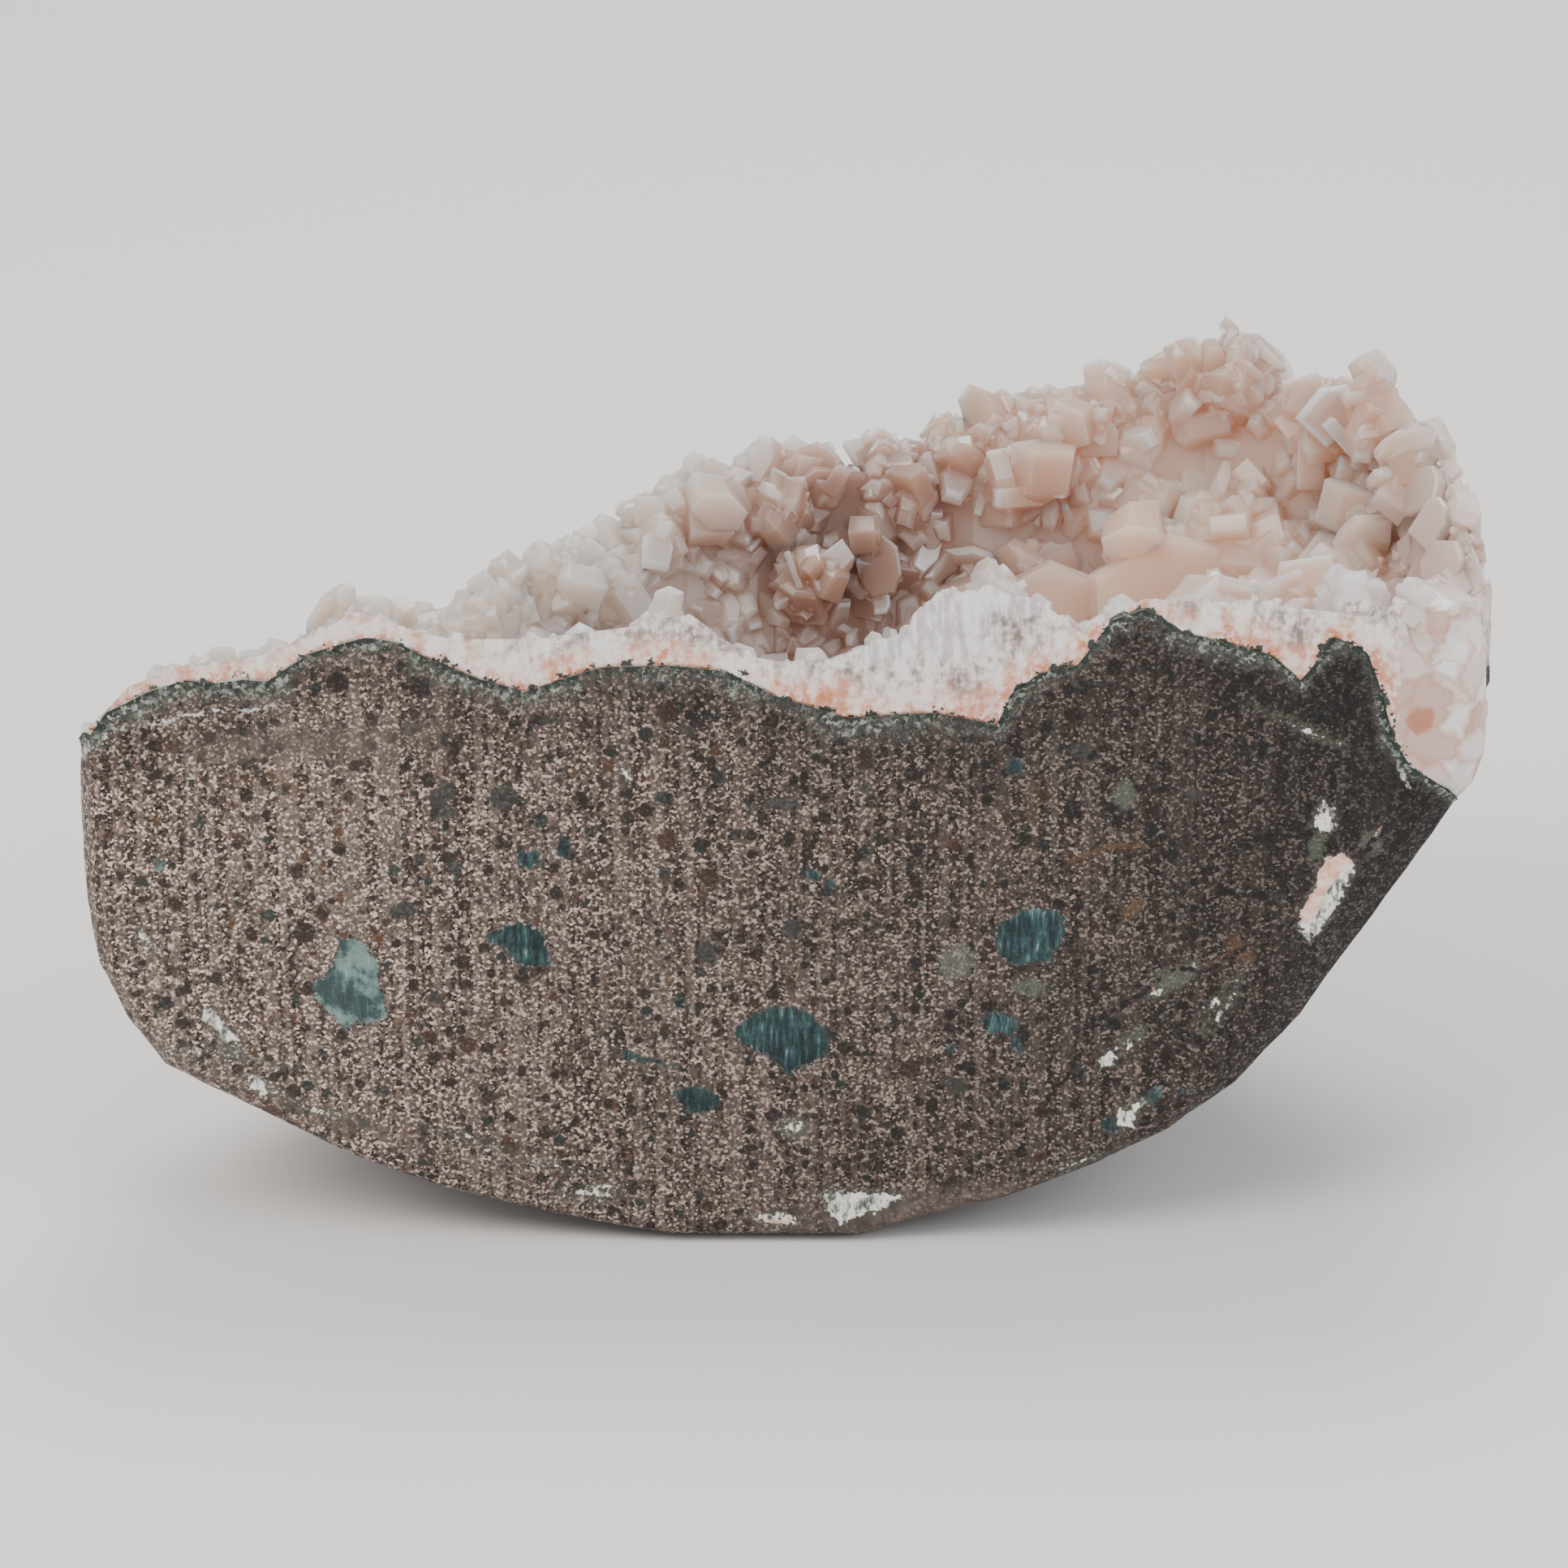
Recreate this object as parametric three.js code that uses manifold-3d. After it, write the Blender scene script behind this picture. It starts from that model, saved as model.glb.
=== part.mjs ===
// A heulandite geode: a block of basalt, sawn flat in front and ground round underneath,
// with a hollow in its top. A crust of heulandite lines the hollow, crystal beside crystal,
// and the sawn face cuts through both.
// Millimetres, +Z up, the sawn face towards -Y, standing on the flat ground underneath.
import * as THREE from "three";
import { ConvexGeometry } from "three/addons/geometries/ConvexGeometry.js";
import { ImprovedNoise } from "three/addons/math/ImprovedNoise.js";
import { mergeVertices } from "three/addons/utils/BufferGeometryUtils.js";
import Module from "manifold-3d";

const wasm = await Module();
wasm.setup();

// Driving dimensions
const FACE_WIDTH = 186; // the sawn face and the crust beside it, left to right
const STONE_DEPTH = 108; // sawn face to the back of the stone
const EDGE = 4; // how far behind the sawn face its ground edge reaches
const HOLLOW_DEPTH = 60; // floor of the hollow under the line between its rims
const HOLLOW_START = -12; // the sawn face cuts the hollow's side this far past its rim
const CUT_START = -9; // the shapes that the sawn face cuts off start here
const CRUST = 8; // thickness of the crust under its crystals
const CRUST_GAP = 0.35; // clearance that keeps rock and crust separate solids
const ROOT = 3; // how far a crystal goes into the crust
const SPACING = 10.7; // least distance between crystals
const CRYSTAL_WIDTH = [7.5, 12.5];
const CRYSTAL_HEIGHT = [4, 9];

// Shapes
const FULL_AT = 0.3; // share of the rim's depth where the crust has its full thickness
const THIN_END = 0.25; // a narrow end's crust is at most this share of the rim's depth
const SETBACK = [2.5, 5.5]; // the crystals on the rim stand this far inside it
const SHORTEST = 3; // a crystal that would be shorter is left out
const TRIES = 6000; // places tried for a crystal
const SKY = 160; // height at which the shapes that only cut are closed
const SEED = 20260;
const SAME_POINT = 1e-4; // corners closer than this are one

// The photograph's sightlines: its middle and foot in pixels, its lens, and its tilt
const VIEW = { middle: 966, left: 100, right: 1832, foot: 1518, focal: 7245 };
const TILT = THREE.MathUtils.degToRad(20);
const AWAY = (VIEW.focal * FACE_WIDTH) / (VIEW.right - VIEW.left);
const FOOT_DROP = VIEW.foot - VIEW.middle;
const AIM_HEIGHT =
  (FOOT_DROP * (AWAY + EDGE * Math.cos(TILT)) + EDGE * Math.sin(TILT) * VIEW.focal) /
  (VIEW.focal * Math.cos(TILT) - FOOT_DROP * Math.sin(TILT));
const FORWARD = new THREE.Vector3(0, Math.cos(TILT), -Math.sin(TILT));
const DOWN = new THREE.Vector3(0, -Math.sin(TILT), -Math.cos(TILT));
const EYE = new THREE.Vector3(0, 0, AIM_HEIGHT).addScaledVector(FORWARD, -AWAY);

// The point that a pixel of the photograph shows, at a depth behind the sawn face.
function seen(px, py, depth = 0) {
  const ray = FORWARD.clone().multiplyScalar(VIEW.focal);
  ray.x += px - VIEW.middle;
  ray.addScaledVector(DOWN, py - VIEW.middle);
  return EYE.clone().addScaledVector(ray, (depth - EYE.y) / ray.y);
}

// The pixel that shows a point.
function pixelOf(point) {
  const ray = point.clone().sub(EYE);
  const scale = VIEW.focal / ray.dot(FORWARD);
  return { x: VIEW.middle + ray.x * scale, y: VIEW.middle + ray.dot(DOWN) * scale };
}

// Outlines read off the photograph, in pixels, left to right.
// The stone's edge from its left shoulder under to its right one, with the bevel in mm.
const STONE_EDGE = [
  [100, 905, 1.6], [100, 1000, 2.4], [108, 1110, 2.8], [122, 1185, 2.8],
  [160, 1255, 2.8], [205, 1310, 2.8], [330, 1372, 2.4], [430, 1420, 2.2],
  [540, 1459, 2], [640, 1483, 2], [740, 1504, 2], [830, 1518, 2],
  [1060, 1518, 2], [1150, 1493, 2], [1240, 1473, 2], [1340, 1436, 2.6],
  [1440, 1390, 3.4], [1520, 1333, 4.5], [1600, 1250, 5.5], [1680, 1140, 6],
  [1740, 1060, 6], [1790, 988, 5.5], [1815, 962, 4], [1829, 925, 2.5],
  [1832, 870, 1.5], [1833, 790, 1.5],
];
// The rock's upper edge on the sawn face.
const ROCK_LINE = [
  [60, 925], [102, 903], [133, 880], [165, 866], [213, 848], [330, 846], [386, 811],
  [450, 793], [485, 798], [535, 822], [592, 843], [648, 857], [705, 836], [744, 826],
  [836, 826], [897, 834], [954, 863], [1042, 891], [1153, 885], [1230, 901],
  [1247, 862], [1283, 836], [1329, 826], [1372, 770], [1410, 757], [1459, 786],
  [1568, 814], [1602, 845], [1618, 828], [1644, 790], [1683, 809], [1698, 850],
  [1715, 916], [1736, 948], [1786, 977], [1880, 1040],
];
// The crust's upper edge on the sawn face, under the crystals that stand on it.
const CRUST_LINE = [
  [60, 905], [102, 895], [160, 862], [215, 836], [350, 806], [440, 764], [560, 800],
  [680, 786], [850, 757], [930, 812], [1010, 816], [1110, 786], [1155, 732], [1225, 726],
  [1335, 780], [1410, 744], [1540, 741], [1690, 760], [1740, 722], [1830, 735],
  [1880, 760],
];
// The far rim, under its crystals, with its depth behind the sawn face in mm.
const FAR_RIM = [
  [60, 925, 3], [100, 912, 5], [237, 856, 20], [330, 830, 32], [420, 790, 43],
  [520, 785, 54], [600, 768, 62], [660, 732, 68], [720, 695, 75], [797, 650, 82],
  [874, 615, 88], [980, 590, 92], [1090, 575, 95], [1180, 555, 97], [1283, 528, 98],
  [1365, 505, 98], [1464, 475, 96], [1522, 462, 94], [1590, 515, 90],
  [1677, 515, 82], [1751, 550, 70], [1790, 600, 60], [1806, 665, 50],
  [1816, 740, 40], [1840, 800, 28], [1880, 860, 12],
];
// The crystals that make the skyline: the pixel of each tip and its width in mm.
const SKYLINE = [
  [102, 893, 3], [160, 866, 4], [212, 818, 6], [262, 806, 6], [330, 797, 7],
  [385, 776, 6], [425, 735, 6], [472, 737, 5.5], [515, 752, 6], [560, 747, 6],
  [594, 729, 6], [629, 692, 4], [665, 673, 4], [704, 657, 5], [759, 633, 6],
  [797, 608, 5], [835, 589, 5], [874, 571, 6.5], [905, 583, 6], [945, 565, 4.5],
  [978, 543, 6], [1010, 556, 6], [1057, 572, 5], [1090, 532, 6], [1122, 543, 5],
  [1184, 514, 7], [1218, 520, 5], [1250, 495, 6], [1285, 481, 7], [1325, 492, 6],
  [1366, 458, 4], [1400, 470, 6], [1440, 450, 5], [1464, 427, 5], [1522, 414, 8],
  [1554, 476, 5], [1600, 498, 7], [1640, 478, 6], [1677, 469, 7], [1706, 500, 5],
  [1757, 513, 7], [1787, 580, 6], [1805, 602, 5], [1808, 650, 5], [1813, 694, 5],
  [1828, 724, 5], [1832, 793, 6],
];
// Crystals that stand out in the hollow: the pixels of tip and root, width and thickness.
const STANDING_OUT = [
  [1083, 655, 1083, 728, 5.7, 3], [1400, 632, 1440, 745, 14, 5],
  [1232, 690, 1330, 700, 7.5, 5], [1660, 706, 1690, 800, 9, 5],
  [1355, 503, 1352, 545, 5, 4], [1462, 480, 1470, 535, 5, 4],
  [1640, 480, 1625, 555, 6, 6], [1682, 474, 1690, 550, 7, 6],
  [1617, 540, 1620, 608, 3.4, 3], [808, 645, 810, 692, 4.5, 3.5],
  [1464, 430, 1475, 500, 7, 5], [1520, 420, 1520, 500, 9, 7],
  [1568, 665, 1500, 740, 10, 4], [1735, 665, 1738, 702, 3, 3],
  [880, 610, 876, 660, 6, 4], [960, 590, 960, 640, 6, 5],
  [1130, 600, 1120, 650, 7, 5], [690, 700, 700, 750, 6, 4], [760, 690, 765, 745, 7, 5],
];


// Points of such a list, for reading at any x between them.
const readable = (list) => list.map(([x, y]) => ({ x, y }));

// Straight-line reading of one key of a list of points, at an x.
function read(points, x, key) {
  const next = points.findIndex((p) => p.x > x);
  if (next < 0) return points.at(-1)[key];
  if (next === 0) return points[0][key];
  const [a, b] = [points[next - 1], points[next]];
  return THREE.MathUtils.lerp(a[key], b[key], (x - a.x) / (b.x - a.x));
}

const rockLine = ROCK_LINE.map(([px, py]) => seen(px, py));
const crustLine = CRUST_LINE.map(([px, py]) => seen(px, py));
const farRim = FAR_RIM.map(([px, py, depth]) => seen(px, py, depth));

const noise = new ImprovedNoise();
let seed = SEED;
function random(low, high) {
  seed = (seed + 0x6d2b79f5) | 0;
  let t = Math.imul(seed ^ (seed >>> 15), 1 | seed);
  t = (t + Math.imul(t ^ (t >>> 7), 61 | t)) ^ t;
  return low + (((t ^ (t >>> 14)) >>> 0) / 4294967296) * (high - low);
}

// A closed skin over rings of points that all have the same count. The cap gives the
// triangles that close a ring, turning the same way round as the ring.
function loft(rings, cap) {
  const count = rings[0].length;
  const position = rings.flat().flatMap((p) => [p.x, p.y, p.z]);
  const index = [];
  for (let r = 0; r + 1 < rings.length; r++) {
    for (let k = 0; k < count; k++) {
      const a = r * count + k;
      const b = r * count + ((k + 1) % count);
      index.push(a, b, b + count, a, b + count, a + count);
    }
  }
  const last = (rings.length - 1) * count;
  index.push(...cap(rings[0]).flatMap(([a, b, c]) => [c, b, a]));
  index.push(...cap(rings.at(-1)).flatMap((face) => face.map((k) => k + last)));
  const geometry = new THREE.BufferGeometry();
  geometry.setAttribute("position", new THREE.Float32BufferAttribute(position, 3));
  geometry.setIndex(index);
  return geometry;
}

// The cap of a ring of any outline, which lies in the plane of two keys.
function flatCap(u, v) {
  const { area, triangulateShape } = THREE.ShapeUtils;
  return (ring) => {
    const plane = ring.map((p) => new THREE.Vector2(p[u], p[v]));
    const faces = triangulateShape(plane, []);
    const covered = faces.reduce((sum, face) => sum + area(face.map((k) => plane[k])), 0);
    return covered * area(plane) > 0 ? faces : faces.map((face) => face.reverse());
  };
}

// The cap of a ring whose second half runs back beside its first half.
function stripCap(ring) {
  const faces = [];
  for (let k = 0; k < ring.length / 2 - 1; k++) {
    const back = ring.length - 1 - k;
    faces.push([k, k + 1, back - 1], [k, back - 1, back]);
  }
  return faces;
}

function toSolid(geometry) {
  const bare = geometry.clone();
  bare.deleteAttribute("normal");
  bare.deleteAttribute("uv");
  const merged = mergeVertices(bare, SAME_POINT);
  const solidOf = (index) =>
    new wasm.Manifold(
      new wasm.Mesh({
        numProp: 3,
        vertProperties: new Float32Array(merged.attributes.position.array),
        triVerts: new Uint32Array(index),
      }),
    );
  const solid = solidOf(merged.index.array);
  return solid.volume() > 0 ? solid : solidOf([...merged.index.array].reverse());
}

function toGeometry(solid) {
  const mesh = solid.getMesh();
  const geometry = new THREE.BufferGeometry();
  geometry.setAttribute("position", new THREE.BufferAttribute(mesh.vertProperties, 3));
  geometry.setIndex(new THREE.BufferAttribute(mesh.triVerts, 1));
  geometry.computeVertexNormals();
  return geometry;
}

function largest(solid) {
  return solid.decompose().sort((a, b) => b.volume() - a.volume())[0];
}

// The stone before the hollow is cut out of it, as rings from the sawn face to the back

const RING_DEPTHS = [0, 1.4, EDGE, 20, 34, 48, 62, 76, 88, 97, 103, 106.5];
const BACK_MIDDLE = 8; // x at which the stone reaches furthest back
const ROUND_LEFT = { power: 2, root: 0.85 }; // how the left side closes towards the back
const ROUND_RIGHT = { power: 4, root: 0.5 }; // and the right side, which stays full longer
const WIDENS_TO = 50; // up to this depth the right side follows the line of sight outwards
const BACK_LIFT = 62; // the underside rises towards this height at the very back
const LIFT = { share: 0.8, power: 2.5 };
const BEVEL_POWER = 1.6; // how round the ground edge is
const FOOT_REACH = 0.6; // share of the depth over which the ground flat runs
const FOOT_SPREAD = { slope: 0.12, to: 46 }; // the flat widens to the back, unseen in front
const LUMPS = [{ height: 4, size: 19 }, { height: 1.5, size: 8 }];

const outline = STONE_EDGE.map(([px, py, bevel]) => {
  const { x, z } = seen(px, py, EDGE);
  return { x, z, bevel };
});

// Unit vector into the stone at a point of the outline.
function inwardOf(k) {
  const a = outline[Math.max(k - 1, 0)];
  const b = outline[Math.min(k + 1, outline.length - 1)];
  return new THREE.Vector2(a.z - b.z, b.x - a.x).normalize();
}

function lumpAt(x, y, z) {
  return LUMPS.reduce(
    (sum, { height, size }) => sum + height * noise.noise(x / size, y / size, z / size),
    0,
  );
}

function stoneRing(depth) {
  const back = Math.max(0, (depth - EDGE) / (STONE_DEPTH - EDGE));
  const closing = ({ power, root }) => (1 - back ** power) ** root;
  const left = closing(ROUND_LEFT);
  const right = closing(ROUND_RIGHT) * (1 + (Math.min(depth, WIDENS_TO) - EDGE) / AWAY);
  const behindFoot = Math.max(0, (back - FOOT_REACH) / (1 - FOOT_REACH));
  const lift = LIFT.share * behindFoot ** LIFT.power;
  const spread = FOOT_SPREAD.slope * Math.max(0, Math.min(depth, FOOT_SPREAD.to) - EDGE);
  const bevel = Math.max(0, 1 - depth / EDGE) ** BEVEL_POWER;
  const ring = outline.map((p, k) => {
    const inward = inwardOf(k);
    const x = p.x + inward.x * p.bevel * bevel;
    const z = p.z + inward.y * p.bevel * bevel;
    const lump = depth > EDGE ? lumpAt(x, depth, z) : 0;
    const low = Math.max(0, z + inward.y * Math.min(lump, 0) - spread * inward.y);
    return new THREE.Vector3(
      BACK_MIDDLE + (x - BACK_MIDDLE) * (x < BACK_MIDDLE ? left : right) + inward.x * lump,
      depth,
      low + (BACK_LIFT - low) * lift,
    );
  });
  const [first, last] = [ring[0], ring.at(-1)];
  ring.push(new THREE.Vector3(last.x, depth, SKY), new THREE.Vector3(first.x, depth, SKY));
  return ring;
}

const block = toSolid(loft(RING_DEPTHS.map(stoneRing), flatCap("x", "z")));

// The hollow, as one profile beside another

const HOLLOW_MIDDLE = 2;
const HOLLOW_HALF = 94;
const FULLNESS = 2.4; // exponent of the round profile
const ROCK_TURNS = [0, 0.07, 0.14, 0.24, 0.38, 0.53, 0.68, 0.84, 1];
const BASE_TURNS = [0, 0.1, 0.22, 0.4, 0.6, 0.8, 1];
// The far rim of the rock is a band that falls away to the back: points behind and under it.
const RIM_BAND = [[3, -0.3], [7, -2.5], [13, -5.5], [20, -9], [30, -14.5], [70, -36]];
const BAND_DIPS = 0.5; // share of the stone's lumps that the band has, all of them dips
const BAND_START = RIM_BAND[0][0]; // the band is smooth up to here

const bulge = (c) => (1 - Math.abs(c) ** FULLNESS) ** (1 / FULLNESS);

// The profile of the hollow at one x: a turn is 0 in front of the sawn face and 1 at the
// far rim.
function profile(x, turns) {
  const rimDepth = read(farRim, x, "y");
  const rimHeight = read(farRim, x, "z");
  const along = Math.min(1, Math.abs(x - HOLLOW_MIDDLE) / HOLLOW_HALF);
  const drop = HOLLOW_DEPTH * Math.sqrt(1 - along ** 2);
  const middle = (HOLLOW_START + rimDepth) / 2;
  const half = (rimDepth - HOLLOW_START) / 2;
  const high = read(rockLine, x, "z") + drop * bulge(middle / half);
  const first = Math.acos((middle - CUT_START) / half) / Math.PI;
  return turns.map((turn) => {
    const c = Math.cos(Math.PI * (first + (1 - first) * turn));
    const y = middle - half * c;
    const z = high + ((rimHeight - high) * y) / rimDepth - drop * bulge(c);
    return new THREE.Vector3(x, y, z);
  });
}

// A grid of profiles moved into the hollow, each within its own plane.
function movedIn(grid, distanceAt) {
  return grid.map((row) =>
    row.map((p, j) => {
      const along = row[Math.min(j + 1, row.length - 1)].clone().sub(row[Math.max(j - 1, 0)]);
      const inward = new THREE.Vector3(0, -along.z, along.y).normalize();
      return p.clone().addScaledVector(inward, distanceAt(p, inward));
    }),
  );
}

// The space over a grid of the rock's profiles, and over the rim band behind it.
function spaceOver(grid, lift) {
  const rings = grid.map((row, i) => {
    const rim = rockGrid[i].at(-1);
    const behind = [
      ...RIM_BAND.map(([back, down]) => {
        const lump = back > BAND_START ? Math.abs(lumpAt(rim.x, rim.y + back, 0)) : 0;
        return [rim.y + back, rim.z + down - BAND_DIPS * lump + lift];
      }),
      [rim.y + RIM_BAND.at(-1)[0], SKY + 1],
      [row[0].y, SKY + 1],
    ];
    return [...row, ...behind.map(([y, z]) => new THREE.Vector3(rim.x, y, z))];
  });
  return toSolid(loft(rings, flatCap("y", "z")));
}

const rockGrid = rockLine.map((p) => profile(p.x, ROCK_TURNS));
const rock = largest(block.subtract(spaceOver(rockGrid, 0)));

// The crust under its crystals

const LEAST_RISE = 0.3; // keeps the crust from thinning out where the hollow's side is steep
const SIGHT_STEP = 0.5; // how finely a line of sight is followed

// From the thickness that the sawn face shows to the full one in the hollow.
function crustThickness({ x, y }, inward) {
  const shown = (read(crustLine, x, "z") - read(rockLine, x, "z")) * Math.max(inward.z, LEAST_RISE);
  const rimDepth = read(farRim, x, "y");
  const full = Math.min(CRUST, rimDepth * THIN_END);
  const share = THREE.MathUtils.smoothstep(y, 0, rimDepth * FULL_AT);
  return THREE.MathUtils.lerp(shown, full, share);
}

const baseStations = crustLine.map((p) => p.x);
const baseGrid = baseStations.map((x) => profile(x, BASE_TURNS));
const crustGrid = movedIn(baseGrid, crustThickness);
const sunkGrid = movedIn(baseGrid, () => -ROOT);
const baseRings = sunkGrid.map((row, i) => [...row, ...crustGrid[i].toReversed()]);
const base = toSolid(loft(baseRings, stripCap));

// The crust's face at an x and a turn, with the way a crystal grows there.
function faceAt(x, turn) {
  const [i, s] = between(baseStations, x);
  const [j, t] = between(BASE_TURNS, turn);
  const [a, b] = [crustGrid[i][j], crustGrid[i + 1][j]];
  const [c, d] = [crustGrid[i][j + 1], crustGrid[i + 1][j + 1]];
  const near = a.clone().lerp(b, s);
  const far = c.clone().lerp(d, s);
  const across = b.clone().sub(a).lerp(d.clone().sub(c), t);
  const point = near.clone().lerp(far, t);
  return { point, normal: across.cross(far.sub(near)).normalize() };
}

// The entry of a rising list that a value lies behind, and how far towards the next one.
function between(list, value) {
  const found = list.findLastIndex((entry) => entry <= value);
  const k = Math.max(0, Math.min(found, list.length - 2));
  return [k, (value - list[k]) / (list[k + 1] - list[k])];
}

// The point of the crust's face that a pixel shows.
function hit(px, py) {
  for (let depth = EDGE; depth < STONE_DEPTH; depth += SIGHT_STEP) {
    const p = seen(px, py, depth);
    const [i, s] = between(baseStations, p.x);
    const row = crustGrid[i].map((q, j) => q.clone().lerp(crustGrid[i + 1][j], s));
    const [j, t] = between(row.map((q) => q.y), depth);
    if (t >= 1 || p.z < THREE.MathUtils.lerp(row[j].z, row[j + 1].z, t)) return p;
  }
  return seen(px, py, STONE_DEPTH);
}

// Crystals

// Outlines of a crystal, in shares of its width and of its length from root to tip.
const COFFIN = [[-0.36, 0], [0.36, 0], [0.5, 0.56], [0.1, 1], [-0.44, 0.7]];
const WEDGE = [[-0.4, 0], [0.4, 0], [0.42, 0.72], [-0.2, 1]];
const BLUNT = [[-0.4, 0], [0.4, 0], [0.5, 0.72], [0.2, 1], [-0.32, 0.94]];
const SHAPES = [COFFIN, WEDGE, BLUNT];
// Shares by which corners, fronts and thicknesses differ from crystal to crystal.
const UNEVEN = { across: [0.8, 1.15], along: [0.85, 1.05], front: [0.6, 0.88] };
const RIM = { width: 1.35, thickness: [0.8, 1.1], sway: 14, sunk: 3, shortest: 6 };
const STANDING = { forward: 2, sunk: 2, lean: 0.25, faceUp: 0.3, holdsAt: 0.4 };
const FILLING = { thickness: [0.45, 0.8], turns: [0.02, 0.99], cuts: 6, cut: 0.25 };
// Crystals end this many pixels under the skyline, and near the face over the crust's edge.
const UNDER_SKYLINE = 14;
const OVER_EDGE = 12;
const NEAR_FACE = 9; // in mm

// A slab with slanting sides, its front a smaller copy of its back.
function crystal(shape, { root, tip, facing, width, thickness }) {
  const up = tip.clone().sub(root);
  const side = new THREE.Vector3().crossVectors(up, facing).normalize();
  const out = new THREE.Vector3().crossVectors(side, up).normalize();
  const hand = random(-1, 1) < 0 ? -1 : 1;
  const narrow = random(...UNEVEN.front);
  const points = shape.flatMap(([s, u]) => {
    const across = hand * s * width * random(...UNEVEN.across);
    const along = u === 1 ? 1 : u * random(...UNEVEN.along);
    return [[-0.5, 1], [0.5, narrow]].map(([face, scale]) =>
      root
        .clone()
        .addScaledVector(up, along * scale)
        .addScaledVector(side, across * scale)
        .addScaledVector(out, face * thickness),
    );
  });
  return toSolid(new ConvexGeometry(points));
}

// The crystals on the far rim, tip by tip along the skyline.
function rimCrystal([px, py, width]) {
  const rim = FAR_RIM.map(([x, y, depth]) => ({ x, y, depth }));
  const depth = read(rim, px, "depth") - random(...SETBACK);
  const thickness = width * random(...RIM.thickness);
  const tip = seen(px, py, depth + thickness / 2);
  tip.y = depth;
  const root = seen(px + random(-RIM.sway, RIM.sway), read(rim, px, "y"), depth);
  root.z = Math.min(root.z - RIM.sunk, tip.z - RIM.shortest);
  const facing = new THREE.Vector3(random(-0.5, 0.5), -1, random(0, 0.4));
  return crystal(BLUNT, { root, tip, facing, width: width * RIM.width, thickness });
}

function standingCrystal([tipX, tipY, rootX, rootY, width, thickness]) {
  const root = hit(rootX, rootY);
  const tip = seen(tipX, tipY, Math.min(root.y, hit(tipX, tipY).y) - STANDING.forward);
  const sideways = random(-STANDING.lean, STANDING.lean);
  const facing = new THREE.Vector3(sideways, -1, STANDING.faceUp);
  taken.push(root.clone().lerp(tip, STANDING.holdsAt));
  root.addScaledVector(FORWARD, STANDING.sunk);
  return crystal(COFFIN, { root, tip, facing, width, thickness });
}

// Whether a tip would rise over the skyline, or in front over the crust's edge.
function tooHigh(tip) {
  const { x, y } = pixelOf(tip);
  const overSkyline = y < read(readable(SKYLINE), x, "y") + UNDER_SKYLINE;
  const overEdge = y < read(readable(CRUST_LINE), x, "y") - OVER_EDGE;
  return overSkyline || (overEdge && tip.y < NEAR_FACE);
}

// One of the crystals that fill the hollow, or nothing where there is no room for it.
function fillingCrystal() {
  const x = random(baseStations[1], baseStations.at(-2));
  const { point, normal } = faceAt(x, random(...FILLING.turns));
  if (taken.some((other) => other.distanceTo(point) < SPACING)) return [];
  const lean = new THREE.Vector3(random(-0.45, 0.45), random(-0.4, 0.4), random(0, 0.7));
  const grow = normal.clone().add(lean).normalize();
  const tip = point.clone().addScaledVector(grow, random(...CRYSTAL_HEIGHT));
  for (let cut = 0; cut < FILLING.cuts && tooHigh(tip); cut++) {
    tip.lerp(point, FILLING.cut);
  }
  if (tip.distanceTo(point) < SHORTEST) return [];
  taken.push(point);
  const width = random(...CRYSTAL_WIDTH);
  return crystal(SHAPES[Math.floor(random(0, SHAPES.length))], {
    root: point.clone().addScaledVector(grow, -ROOT),
    tip,
    facing: new THREE.Vector3(random(-1, 1), random(-1, 0.2), random(-0.3, 0.8)),
    width,
    thickness: width * random(...FILLING.thickness),
  });
}

const taken = [];
const crystals = [
  ...SKYLINE.map(rimCrystal),
  ...STANDING_OUT.map(standingCrystal),
  ...Array.from({ length: TRIES }, fillingCrystal).flat(),
];
const room = spaceOver(movedIn(rockGrid, () => CRUST_GAP), CRUST_GAP);
const crust = largest(wasm.Manifold.union([base, ...crystals]).intersect(room).intersect(block));

// The geode, standing on its foot with the middle of its outline over the origin

const basalt = new THREE.MeshStandardMaterial({ color: 0x7d6d66, roughness: 0.9 });
const heulandite = new THREE.MeshStandardMaterial({ color: 0xe3c2b3, roughness: 0.3 });

const geode = new THREE.Group();
for (const [name, solid, material] of [
  ["basalt_matrix", rock, basalt],
  ["heulandite_crust", crust, heulandite],
]) {
  const mesh = new THREE.Mesh(toGeometry(solid), material);
  mesh.name = name;
  geode.add(mesh);
}
const box = new THREE.Box3().setFromObject(geode);
const middle = box.getCenter(new THREE.Vector3());
geode.position.set(-middle.x, -middle.y, -box.min.z);

export default geode;
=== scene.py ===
import math

import bmesh
import bpy
import numpy as np
from mathutils import Matrix, Vector, noise
from mathutils.bvhtree import BVHTree
from mathutils.geometry import delaunay_2d_cdt


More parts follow.
